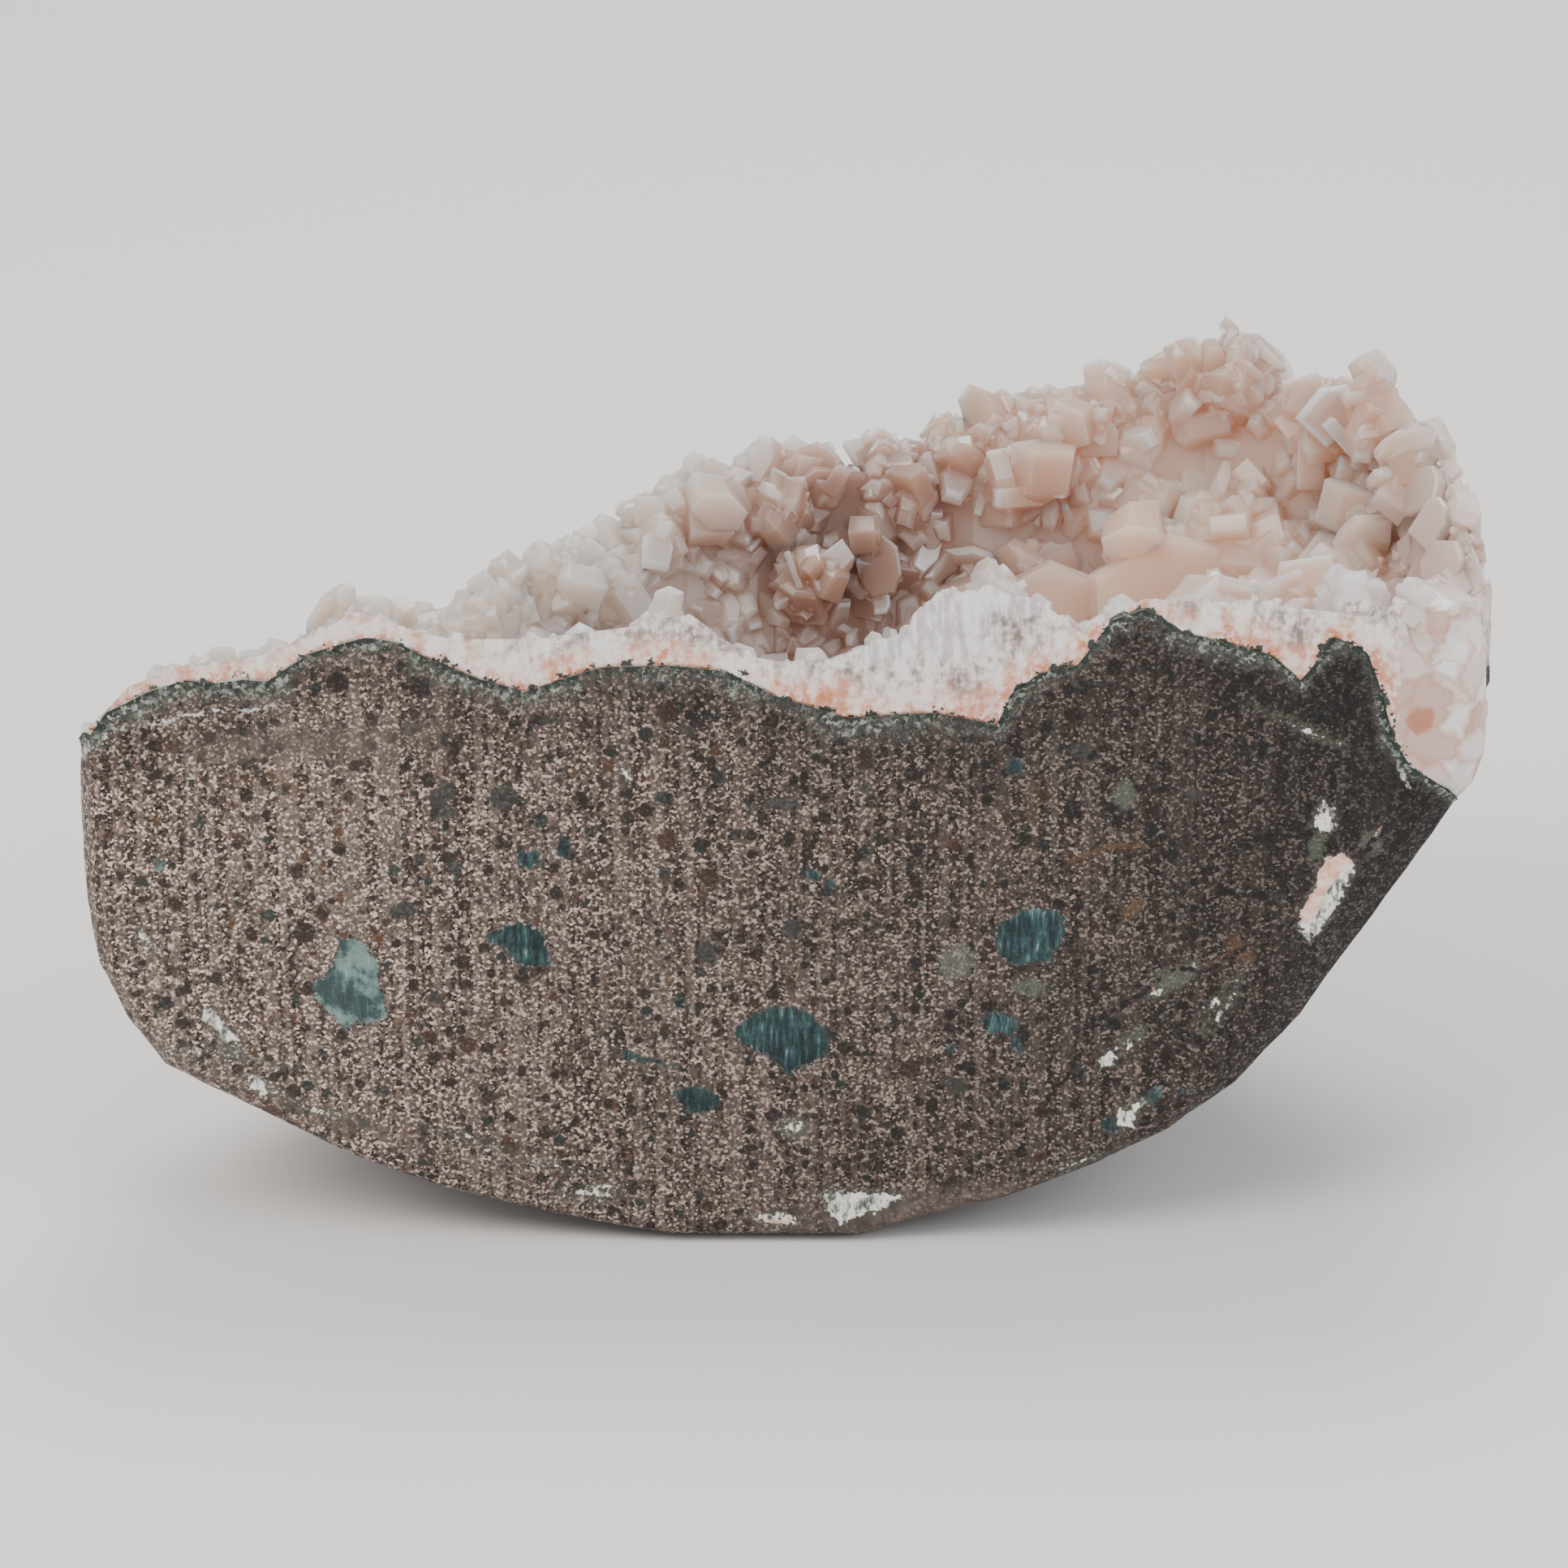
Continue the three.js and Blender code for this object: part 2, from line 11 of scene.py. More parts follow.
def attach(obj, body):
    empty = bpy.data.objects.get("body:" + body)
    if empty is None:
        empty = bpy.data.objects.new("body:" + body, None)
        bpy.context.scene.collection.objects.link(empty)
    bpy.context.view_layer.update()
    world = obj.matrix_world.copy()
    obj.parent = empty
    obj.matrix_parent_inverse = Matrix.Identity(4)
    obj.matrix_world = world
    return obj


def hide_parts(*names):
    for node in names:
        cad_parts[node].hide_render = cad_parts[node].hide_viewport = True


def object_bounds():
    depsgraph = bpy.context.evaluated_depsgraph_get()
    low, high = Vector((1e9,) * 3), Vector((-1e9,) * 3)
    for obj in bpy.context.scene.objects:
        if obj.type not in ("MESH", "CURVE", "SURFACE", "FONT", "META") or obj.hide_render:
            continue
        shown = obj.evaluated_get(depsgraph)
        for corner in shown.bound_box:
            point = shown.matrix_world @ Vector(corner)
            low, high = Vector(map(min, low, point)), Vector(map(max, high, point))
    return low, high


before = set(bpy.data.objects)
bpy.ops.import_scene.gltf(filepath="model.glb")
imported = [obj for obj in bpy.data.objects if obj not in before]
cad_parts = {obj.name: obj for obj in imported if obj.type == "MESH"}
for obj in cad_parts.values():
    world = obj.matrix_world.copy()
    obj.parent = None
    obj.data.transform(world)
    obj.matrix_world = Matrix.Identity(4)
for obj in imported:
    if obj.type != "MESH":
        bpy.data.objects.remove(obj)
cadLow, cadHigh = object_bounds()
mm = 0.001
sawnPlane = cadLow.y
print("frame loaded")


# Camera, floor and light

studio = {
    "lens": 135, "sensor": 36,
    "aim": (-1.76 * mm, 66.7 * mm),  # x and z of the middle of the picture, on the sawn face
    "distance": 0.778,
    "above": 20,  # degrees over the horizon
    "floorColor": "#e4e1dd", "floorSize": 6,
    "roomColor": "#eef1f5", "roomLight": 0.95,
    "lampAim": (0, 0, 0.05),
    # place, size in metres, watts, colour
    "lamps": [
        [(-0.75, -0.85, 1.15), 0.8, 15, "#fff8f2"],
        [(0.95, -0.75, 0.85), 0.9, 9, "#f6f8ff"],
        [(0.1, 0.65, 1.3), 0.8, 12, "#ffffff"],
    ],
}


def linear(color):
    # "#rrggbb" as the four numbers of a colour socket
    parts = [int(color[k:k + 2], 16) / 255 for k in (1, 3, 5)]
    return [c / 12.92 if c <= 0.04045 else ((c + 0.055) / 1.055) ** 2.4 for c in parts] + [1]


def newObject(name, data):
    made = bpy.data.objects.new(name, data)
    bpy.context.scene.collection.objects.link(made)
    return made


def makeCamera():
    camera = newObject("camera", bpy.data.cameras.new("camera"))
    camera.data.lens = studio["lens"]
    camera.data.sensor_width = studio["sensor"]
    aim = Vector((studio["aim"][0], sawnPlane, studio["aim"][1]))
    up = math.radians(studio["above"])
    back = Vector((0, -math.cos(up), math.sin(up)))
    camera.location = aim + back * studio["distance"]
    camera.rotation_euler = (-back).to_track_quat("-Z", "Y").to_euler()
    camera.data.clip_start, camera.data.clip_end = 0.02, 20
    bpy.context.scene.camera = camera


def makeLamps():
    for k, (place, size, watts, color) in enumerate(studio["lamps"]):
        data = bpy.data.lights.new(f"softbox{k + 1}", "AREA")
        data.shape, data.size, data.energy = "DISK", size, watts
        data.color = linear(color)[:3]
        lamp = newObject(data.name, data)
        lamp.location = place
        toStone = Vector(studio["lampAim"]) - lamp.location
        lamp.rotation_euler = toStone.to_track_quat("-Z", "Y").to_euler()
    world = bpy.data.worlds.new("room")
    world.use_nodes = True
    background = world.node_tree.nodes["Background"]
    background.inputs["Color"].default_value = linear(studio["roomColor"])
    background.inputs["Strength"].default_value = studio["roomLight"]
    bpy.context.scene.world = world


# Helpers for materials

class Wiring:
    # Adds nodes to a tree. An input is a value or the socket of another node.
    def __init__(self, tree):
        self.tree = tree

    def feed(self, node, inputs):
        for key, value in inputs.items():
            if isinstance(value, bpy.types.NodeSocket):
                self.tree.links.new(value, node.inputs[key])
            else:
                node.inputs[key].default_value = value

    def add(self, kind, inputs=None, **settings):
        node = self.tree.nodes.new(kind)
        for name, value in settings.items():
            setattr(node, name, value)
        self.feed(node, inputs or {})
        return node

    def calc(self, operation, a, b):
        return self.add("ShaderNodeMath", {0: a, 1: b}, operation=operation).outputs[0]

    def plus(self, a, b):
        return self.calc("ADD", a, b)

    def minus(self, a, b):
        return self.calc("SUBTRACT", a, b)

    def times(self, a, b):
        return self.calc("MULTIPLY", a, b)

    def swing(self, value, width, middle=0.5):
        # A value from 0 to 1 as one that swings to both sides of 0
        return self.times(self.minus(value, middle), width)

    def vector(self, operation, a, b, output="Vector"):
        node = self.add("ShaderNodeVectorMath", {0: a, 1: b}, operation=operation)
        return node.outputs[output]

    def place(self, scale=(1, 1, 1), turn=(0, 0, 0)):
        # The point on the stone in millimetres, stretched and turned
        coords = self.add("ShaderNodeTexCoord").outputs["Object"]
        sizes = [s / mm for s in scale]
        return self.add("ShaderNodeMapping", {0: coords, 2: turn, 3: sizes}).outputs[0]

    def noise(self, size, detail, rough, at):
        # Noise whose lumps are about size millimetres across
        inputs = {"Vector": at, "Scale": 1 / size, "Detail": detail, "Roughness": rough}
        return self.add("ShaderNodeTexNoise", inputs).outputs["Fac"]

    def cells(self, size, at, feature="F1"):
        inputs = {"Vector": at, "Scale": 1 / size}
        return self.add("ShaderNodeTexVoronoi", inputs, feature=feature)

    def numbers(self, cells):
        # Three random numbers for each cell
        return self.add("ShaderNodeSeparateColor", {0: cells.outputs["Color"]}).outputs

    def step(self, value, low, high, start=0.0, end=1.0, curve="SMOOTHSTEP"):
        inputs = {0: value, 1: low, 2: high, 3: start, 4: end}
        return self.add("ShaderNodeMapRange", inputs, interpolation_type=curve).outputs[0]

    def blend(self, share, a, b, how="MIX"):
        a, b = [linear(c) if isinstance(c, str) else c for c in (a, b)]
        node = self.add("ShaderNodeMix", {0: share, 6: a, 7: b}, data_type="RGBA",
                        blend_type=how, clamp_factor=True)
        return node.outputs[2]

    def ramp(self, value, stops, curve="LINEAR"):
        node = self.add("ShaderNodeValToRGB", {0: value})
        node.color_ramp.interpolation = curve
        while len(node.color_ramp.elements) < len(stops):
            node.color_ramp.elements.new(1)
        for element, (at, color) in zip(node.color_ramp.elements, stops):
            element.position = at
            element.color = linear(color)
        return node.outputs[0]

    def attribute(self, name):
        return self.add("ShaderNodeAttribute", attribute_name=name).outputs["Fac"]

    def bump(self, height, depth):
        # depth is what a height of 1 stands out, in millimetres
        inputs = {"Height": height, "Distance": depth * mm, "Strength": 1.0}
        return self.add("ShaderNodeBump", inputs).outputs[0]


def newMaterial(name):
    material = bpy.data.materials.new(name)
    material.use_nodes = True
    shader = material.node_tree.nodes["Principled BSDF"]
    return material, Wiring(material.node_tree), shader


def makeFloor():
    size = studio["floorSize"] / 2
    mesh = bpy.data.meshes.new("floor")
    mesh.from_pydata([(-size, -size, 0), (size, -size, 0), (size, size, 0), (-size, size, 0)],
                     [], [(0, 1, 2, 3)])
    floor = newObject("floor", mesh)
    material, w, shader = newMaterial("paper")
    w.feed(shader, {"Base Color": linear(studio["floorColor"]), "Roughness": 0.9,
                    "Specular IOR Level": 0.1})
    mesh.materials.append(material)


makeCamera()
makeLamps()
makeFloor()
print("camera, lamps and floor made")


# Helpers for meshes

def cadCopy(node):
    # A welded copy of a CAD node's mesh
    work = bmesh.new()
    work.from_mesh(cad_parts[node].data)
    bmesh.ops.remove_doubles(work, verts=work.verts, dist=0.001 * mm)
    return work


def newPiece(name, mesh, material, node):
    mesh.name = name
    piece = newObject(name, mesh)
    mesh.materials.clear()
    mesh.materials.append(material)
    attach(piece, "root")
    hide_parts(node)
    print(name, "made:", len(mesh.polygons), "triangles")


def writeAttribute(mesh, name, values):
    attribute = mesh.attributes.new(name, "FLOAT", "POINT")
    attribute.data.foreach_set("value", np.asarray(values, np.float32))


def pointsOf(mesh):
    found = np.zeros(len(mesh.vertices) * 3, np.float32)
    mesh.vertices.foreach_get("co", found)
    return found.reshape(-1, 3)


def distancesTo(tree, points):
    # Distance in millimetres from each point to a surface
    return np.array([tree.find_nearest(Vector(p))[3] for p in points.tolist()]) / mm


rockTree = BVHTree.FromBMesh(cadCopy("basalt_matrix"))
crustTree = BVHTree.FromBMesh(cadCopy("heulandite_crust"))
touching = 0.6 * mm  # where the crust is nearer than this, it covers the rock


def isUnderCrust(point):
    return crustTree.find_nearest(point)[3] < touching


def isBehindSawn(point, reach):
    # Whether a point is less than reach millimetres behind the sawn face
    return point.y < sawnPlane + reach * mm


# The basalt

# Filled gas bubbles on the sawn face, seen from in front. An oval is its middle x, z, its
# width, height and its turn if any; an outline is a list of points x, z. In mm and degrees.
bubbles, lines = {}, {}
bubbles["teal"] = [
    [(-61.7, 44.7), (-59.3, 44.9), (-57.3, 43.1), (-56, 41.2), (-56.1, 39), (-55.5, 36),
     (-55, 33.2), (-56.3, 32.8), (-59.4, 32.6), (-60.4, 31.1), (-62.2, 33.2), (-64, 35.4),
     (-65.2, 38.2), (-63.1, 39.2), (-62.3, 41.2), (-61.3, 43.1)],
    [(-41.6, 44.9), (-40.2, 45.9), (-38.4, 46.9), (-36.1, 47.1), (-34, 45.6), (-33.2, 43.1),
     (-32.9, 40.7), (-35.4, 40.8), (-37.4, 40.7), (-38.2, 42.3), (-39.7, 43.7), (-41.2, 44.1)],
    [(-8.4, 32), (-6.6, 33.1), (-5.1, 34.2), (-2, 35.1), (1.1, 34.2), (3.4, 32.2), (4.2, 30.3),
     (3.7, 27.8), (2.1, 26.7), (0.1, 26.1), (-0.9, 24.7), (-1.7, 25.8), (-4, 27.8), (-6.1, 28.9),
     (-8.1, 30)],
    [(26.4, 44.7), (27.1, 46.9), (29.4, 48.5), (31.4, 49.2), (34.3, 48.8), (35.5, 48),
     (35.7, 45.5), (34.9, 43.3), (33.6, 41.4), (31.6, 41.4), (29.8, 41), (27.7, 41.6), (26.7, 43)],
    [(-16.5, 23), (-14.4, 23.3), (-11.8, 22.8), (-10.2, 21.4), (-11, 20), (-13.6, 19.1),
     (-15.4, 20), (-16.2, 21.6)],
    [-35.7, 56.1, 3.2, 2.5], [-31, 57.6, 1.7, 2.8], [28.7, 69.1, 2.2, 2.6], [2.2, 53.8, 1.9, 1.6],
    [-84.8, 55.3, 1.6, 1.9], [-20.7, 27.3, 8.8, 0.9, -15], [42.6, 17.6, 3, 2.6, 30],
    [48, 21.8, 1.6, 2.6, -30], [27.1, 32.4, 5, 3.2, -10], [29.4, 29.4, 1.2, 3.4, 35],
    [-15.6, 35.4, 2.2, 1.2, -30], [4.5, 52.6, 1.2, 1], [21, 28.8, 1.4, 1], [52, 22.6, 1, 1.6, -30],
]
bubbles["dark"] = [
    [(-49, 64.9), (-47.2, 67), (-45.1, 67.1), (-45.4, 64.9), (-46.7, 63.6), (-45, 63.3),
     (-45, 61.6), (-49, 61.8), (-48.5, 63.3)],
    [-45.6, 55, 2.6, 2.2], [-38.9, 64.8, 3.4, 3.8, -20], [-32.9, 75.6, 2.8, 1.2, 5],
    [-1.9, 63.8, 5, 1.8, -12], [-5.8, 63.3, 2, 1.6], [-12.2, 42.6, 3, 3.4, 30],
    [-17.5, 54.2, 1.6, 2], [-79.4, 61.1, 2.2, 1.6, 30], [52.6, 65.3, 2.6, 2],
    [-14.7, 74.2, 3, 1.6, -20], [27.1, 32.4, 2.6, 1.2, -10], [-52.6, 48.8, 3.4, 2.6, 10],
    [9, 66, 1.8, 1.4], [-51, 29.9, 2, 1.6], [-48.5, 36.2, 2.2, 2], [21.4, 23.5, 3.4, 2.6, -15],
    [-26.5, 30.9, 2, 1.4], [-55.8, 22.8, 2.6, 1.6], [-50.1, 56.2, 2.4, 1.6, -20],
    [37.3, 71.4, 3, 2.4], [-0.8, 46.1, 3, 2.6, 30],
]
bubbles["white"] = [
    [(-79.9, 34), (-78.4, 34.6), (-76.9, 32.6), (-75.4, 30.7), (-74.4, 29), (-76.5, 29.6),
     (-78.2, 31.3), (-79.4, 32.6)],
    [(2.8, 8.1), (15.1, 7.3), (10.8, 4.8), (5.9, 3.1), (4.4, 4.5), (4, 6.5)],
    [(-6.4, 3.7), (-2.4, 4.9), (1.3, 3), (-2.7, 2.8)],
    [(69.8, 64.4), (71.1, 63.1), (71.3, 60.7), (70.2, 59.9), (69, 60.2), (68.2, 61), (69.1, 62.8)],
    [(69.2, 53.9), (70.3, 56), (72.3, 56.9), (74.3, 55.4), (73.9, 53.9), (73, 51.7), (72.3, 49.6),
     (70.2, 46.4), (68.5, 44.4), (67.2, 45.9), (66.9, 47.5), (67.8, 50.2), (69.2, 52)],
    [(40.8, 27.1), (42, 29), (43, 28.2), (42.6, 26.3), (41.3, 26.3)],
    [-72.6, 23.5, 3.6, 2, -30], [-70.4, 22.8, 2.4, 0.5, -24], [-28, 8, 5.4, 0.9, 10],
    [-26.6, 6.9, 3.4, 0.7, 10], [-0.4, 17.5, 2.4, 1.5], [46, 20.4, 2.6, 1.4, 35],
    [44.6, 29.4, 2.2, 0.7, 30], [-86.6, 44.3, 0.8, 3.4, 42], [37.8, 12, 4, 0.7, 14],
    [48.7, 37, 2.6, 0.9, 22], [-64.5, 19.7, 4.4, 0.5, -14], [-44, 15.6, 5, 0.5, -16],
    [-33, 11.5, 3.2, 0.4, -14], [67, 74.4, 5, 0.6, -26], [53.4, 40.8, 1.2, 1],
    [56.8, 33.8, 0.6, 3, -35], [-76, 27.9, 4.6, 0.4, -14], [-22.7, 67.8, 0.9, 1.5],
    [44.4, 18.6, 2.6, 3, 30], [56, 35.8, 0.4, 2.6, -38], [57.6, 35.7, 0.4, 2.2, -30],
    [-79.6, 28.6, 5, 0.4, 4],
]
bubbles["pink"] = [
    [(69.2, 53.9), (70.3, 56), (72.3, 56.9), (74.3, 55.4), (72.9, 54.6), (71.2, 52.5), (70, 50.9),
     (70.3, 49.1), (68.4, 47.5), (67.2, 46.2), (66.9, 47.8), (67.8, 50.2), (69.2, 52)],
    [-2.2, 3.6, 4, 0.9], [47.7, 37.7, 1.4, 0.9], [77.2, 59.8, 0.9, 2.2, -30],
    [-19.9, 68.1, 0.8, 0.9],
]
bubbles["green"] = [
    [(47.5, 38.2), (48.5, 39.8), (51, 40.7), (53.4, 41.4), (53.7, 40), (51.5, 38.2), (48.6, 37.1)],
    [21.3, 41.3, 4, 5.2, -20], [68.9, 57.8, 1.6, 3.2, -15], [-0.4, 17.4, 4, 2.9], [31, 37.6, 4, 2],
    [43.3, 65.2, 2.6, 3.4], [45, 30.6, 3, 1, 30], [76.2, 58.4, 2.6, 3],
    [-75.8, 28.4, 2.6, 1.4, -20],
]
# Where the rock is smooth and has no pale grains
bubbles["smooth"] = [
    [17, 4.6, 34, 6.5, 6], [-64, 72.5, 26, 4, 4], [-66, 20, 26, 1.6, -20],
]
# Lines on the sawn face, as points x, z in mm, and their widths.
lines["vein"] = [
    [[(-94.6, 70.5), (-90.6, 73.8), (-87.7, 75.2), (-84.4, 75.2), (-80.2, 76.4),
      (-76.5, 76.9), (-70.4, 77.1), (-68.4, 78.2)], 0.25],
    [[(-94.8, 69.6), (-93.4, 72.6), (-90.9, 74.6), (-87.2, 77.9)], 0.5],
    [[(78.6, 74), (79.6, 69), (80.8, 66.4)], 0.4],
]
lines["crack"] = [
    [[(33.4, 20.4), (36.3, 25), (38.3, 28.2), (39, 31.2), (40.7, 33.1), (42.6, 34.4),
      (45.6, 36.3), (47.3, 37.6), (49.5, 39.8), (51.5, 40.6), (54, 39.8), (56.4, 41.1),
      (58.4, 42.4), (61.3, 44.3), (64.7, 46.2), (66.7, 47.5)], 0.35],
    [[(39, 31.2), (39.2, 32.9), (40.7, 33.1)], 0.5],
    [[(77, 77.9), (78.4, 71.2), (78.9, 66.5), (78, 63.3), (78.8, 61.8), (76.7, 58.6),
      (74.5, 56.5)], 0.6],
]
lines["brownLine"] = [
    [[(36.2, 55.6), (38.6, 56.8), (41.3, 57.8), (46.1, 57.8)], 0.9],
    [[(31.1, 67.4), (30.9, 64), (31.4, 61.1)], 0.6],
    [[(58.4, 44.6), (58.6, 42.4), (60.6, 42)], 1.6],
    [[(54, 40.4), (58.4, 42.6), (61.3, 44.3)], 0.7],
    [[(-70, 68.5), (-67.8, 66.9), (-65.8, 65.1)], 1], [[(44, 48.2), (45.6, 49.8)], 1.6],
]
rock = {
    # Mesh sizes in mm, and how far the fine mesh goes behind the sawn face, in and outside
    "faceStep": 0.85, "edgeStep": 0.6, "rimStep": 1.2, "skinStep": 2.0, "hiddenStep": 6.0,
    "innerRim": 2, "outerRim": 6,
    "pitSpacing": 2.9, "pitRadius": (0.35, 1.1), "pitShare": 0.24,
    "pitDepth": 0.5, "skinPitDepth": 0.5,  # on the sawn face and on the natural skin
    "skinLumps": [[7.0, 0.55], [2.6, 0.28]],  # size and height in mm
    "lumpsFrom": 14,  # how far behind the sawn face the lumps have their full height
    "markDepth": 9.0,  # how far behind the sawn face its marks still show on the ground edge
    "fillOver": 0.33,  # the rock's upper skin is raised to meet the crust
    "seed": 4,
    "grain": 0.33,  # size of its grains in mm
    # Specks: size of their cells, the random number from which a cell has one, the largest
    # one's share of its cell, and a shift of the pattern
    "specks": [(2.4, 0.45, 0.5, 3.1), (1.4, 0.6, 0.55, 7.3), (5.4, 0.62, 0.34, 11.7)],
    # Colours and their places from 0 to 1
    "grainColors": [(0.12, "#140f0c"), (0.3, "#3a2f28"), (0.5, "#69594f"), (0.68, "#82736a"),
                    (0.84, "#f0ddd2")],
    "speckColors": [(0.0, "#2b211b"), (0.35, "#4a3324"), (0.55, "#35352c"), (0.75, "#5e4029"),
                    (0.86, "#2a3634")],
    # painted shade: the rock made darker towards the right, where the light falls off
    "paintedShadeToRight": [(0.0, "#e2dbd5"), (0.4, "#b5afa9"), (0.62, "#948e88"), (0.78, "#6f6a65"),
                     (0.88, "#57524d"), (1.0, "#3a3632")],
    "tealColors": [(0.4, "#0c1a1e"), (0.47, "#172b2f"), (0.53, "#26403f"), (0.59, "#3d5959"),
                   (0.67, "#8ca5a1")],
    "whiteColors": [(0.36, "#4f5650"), (0.44, "#a3a69b"), (0.54, "#e6e0d9")],
    "pinkColors": [(0.35, "#cf9478"), (0.5, "#e3b9a6"), (0.65, "#ecd5ca")],
    "layerColors": [(0.1, "#2b302a"), (0.4, "#474b44"), (0.7, "#686d63"), (0.95, "#9a9e93")],
}
farAway = 50.0  # in mm, farther than any mark on the sawn face reaches


def inside(points, loop):
    # Which of the points lie inside a closed line, all in two dimensions
    hits = np.zeros(len(points), bool)
    for a, b in zip(loop, np.roll(loop, -1, axis=0)):
        crosses = (a[1] > points[:, 1]) != (b[1] > points[:, 1])
        rise = b[1] - a[1] or 1e-12
        hits ^= crosses & (points[:, 0] < (b[0] - a[0]) * (points[:, 1] - a[1]) / rise + a[0])
    return hits


def splitLong(work, lengthAt):
    # Splits edges until none is longer than lengthAt(edge), which is in millimetres
    for _ in range(9):
        long = [e for e in work.edges if e.calc_length() > lengthAt(e) * mm]
        if not long:
            return
        bmesh.ops.subdivide_edges(work, edges=long, cuts=1)
        bmesh.ops.triangulate(work, faces=[f for f in work.faces if len(f.verts) > 3])


def takeOut(work, faces):
    bmesh.ops.delete(work, geom=faces, context="FACES")


def takeOutFolds(work):
    # Where a sliver is folded flat, two faces have the same corners, and both go
    alike = {}
    for f in work.faces:
        alike.setdefault(frozenset(f.verts), []).append(f)
    takeOut(work, [f for faces in alike.values() if len(faces) > 1 for f in faces])


def fillSawnFace(work):
    # Closes the open front with an even mesh of small triangles, on the same plane
    border = [e for e in work.edges if e.is_boundary]
    follow = {}
    for e in border:
        for v in e.verts:
            follow.setdefault(v, []).append(e)
    start = border[0].verts[0]
    loop, edge = [start], border[0]
    while True:
        nextVert = edge.other_vert(loop[-1])
        if nextVert is start:
            break
        loop.append(nextVert)
        edge = next(e for e in follow[nextVert] if e is not edge)
    flat = np.array([(v.co.x, v.co.z) for v in loop])
    step = rock["faceStep"] * mm
    rowStep, jitter, leastGap = 0.866, 0.18, 0.45  # in steps
    low, high = flat.min(0), flat.max(0)
    rows = np.arange(low[1], high[1], step * rowStep)
    columns = np.arange(low[0], high[0], step)
    grid = np.array([(x + (r % 2) * step / 2, z) for r, z in enumerate(rows) for x in columns])
    rng = np.random.default_rng(rock["seed"])
    grid += rng.uniform(-jitter, jitter, grid.shape) * step
    grid = grid[inside(grid, flat)]
    gap = np.min([np.hypot(*(grid - p).T) for p in flat], axis=0)
    grid = grid[gap > leastGap * step]
    count = len(flat)
    verts = [Vector(p) for p in flat.tolist()] + [Vector(p) for p in grid.tolist()]
    edges = [(k, (k + 1) % count) for k in range(count)]
    made, _, faces, origins, _, _ = delaunay_2d_cdt(verts, edges, [], 1, 1e-9)
    placed = []
    for k, p in enumerate(made):
        known = [o for o in origins[k] if o < count]
        placed.append(loop[known[0]] if known else work.verts.new((p.x, sawnPlane, p.y)))
    for face in faces:
        corners = [placed[k] for k in face]
        if len(set(corners)) == 3:
            work.faces.new(corners)
    bmesh.ops.recalc_face_normals(work, faces=work.faces)


def lineDistance(points, paths):
    # Distance in mm to lines of a given width, over the sawn face's x and z
    flat = points[:, [0, 2]]
    best = np.full(len(points), farAway)
    for path, width in paths:
        for a, b in zip(path, path[1:]):
            a, d = np.array(a), np.array(b) - np.array(a)
            t = np.clip((flat - a) @ d / (d @ d), 0, 1)
            away = np.hypot(*(flat - a - t[:, None] * d).T)
            best = np.minimum(best, away - width / 2)
    return best


def bubbleDistance(points, shapes):
    # The same to the nearest of several ovals and outlines, negative inside
    flat = points[:, [0, 2]]
    best = np.full(len(points), farAway)
    for shape in shapes:
        if isinstance(shape[0], tuple):
            away = lineDistance(points, [[shape + shape[:1], 0]])
            best = np.minimum(best, np.where(inside(flat, shape), -away, away))
            continue
        x, z, width, height, turn = (shape + [0])[:5]
        c, s = math.cos(math.radians(turn)), math.sin(math.radians(turn))
        dx, dz = flat[:, 0] - x, flat[:, 1] - z
        u, v = (c * dx + s * dz) / (width / 2), (c * dz - s * dx) / (height / 2)
        best = np.minimum(best, (np.hypot(u, v) - 1) * min(width, height) / 2)
    return best


def pitAt(p):
    # Depth of the small open gas bubbles at a point in mm, from 0 to 1
    spacing = rock["pitSpacing"]
    distances, centres = noise.voronoi(Vector(p) / spacing)
    pick = 0.5 + 0.5 * noise.cell(centres[0] * 37.1)
    if pick > rock["pitShare"]:
        return 0.0
    low, high = rock["pitRadius"]
    radius = low + (high - low) * (pick / rock["pitShare"]) ** 2
    reach = distances[0] * spacing / radius * (0.8 + 0.5 * noise.noise(Vector(p) / 0.7))
    return max(0.0, 1 - reach ** 2)


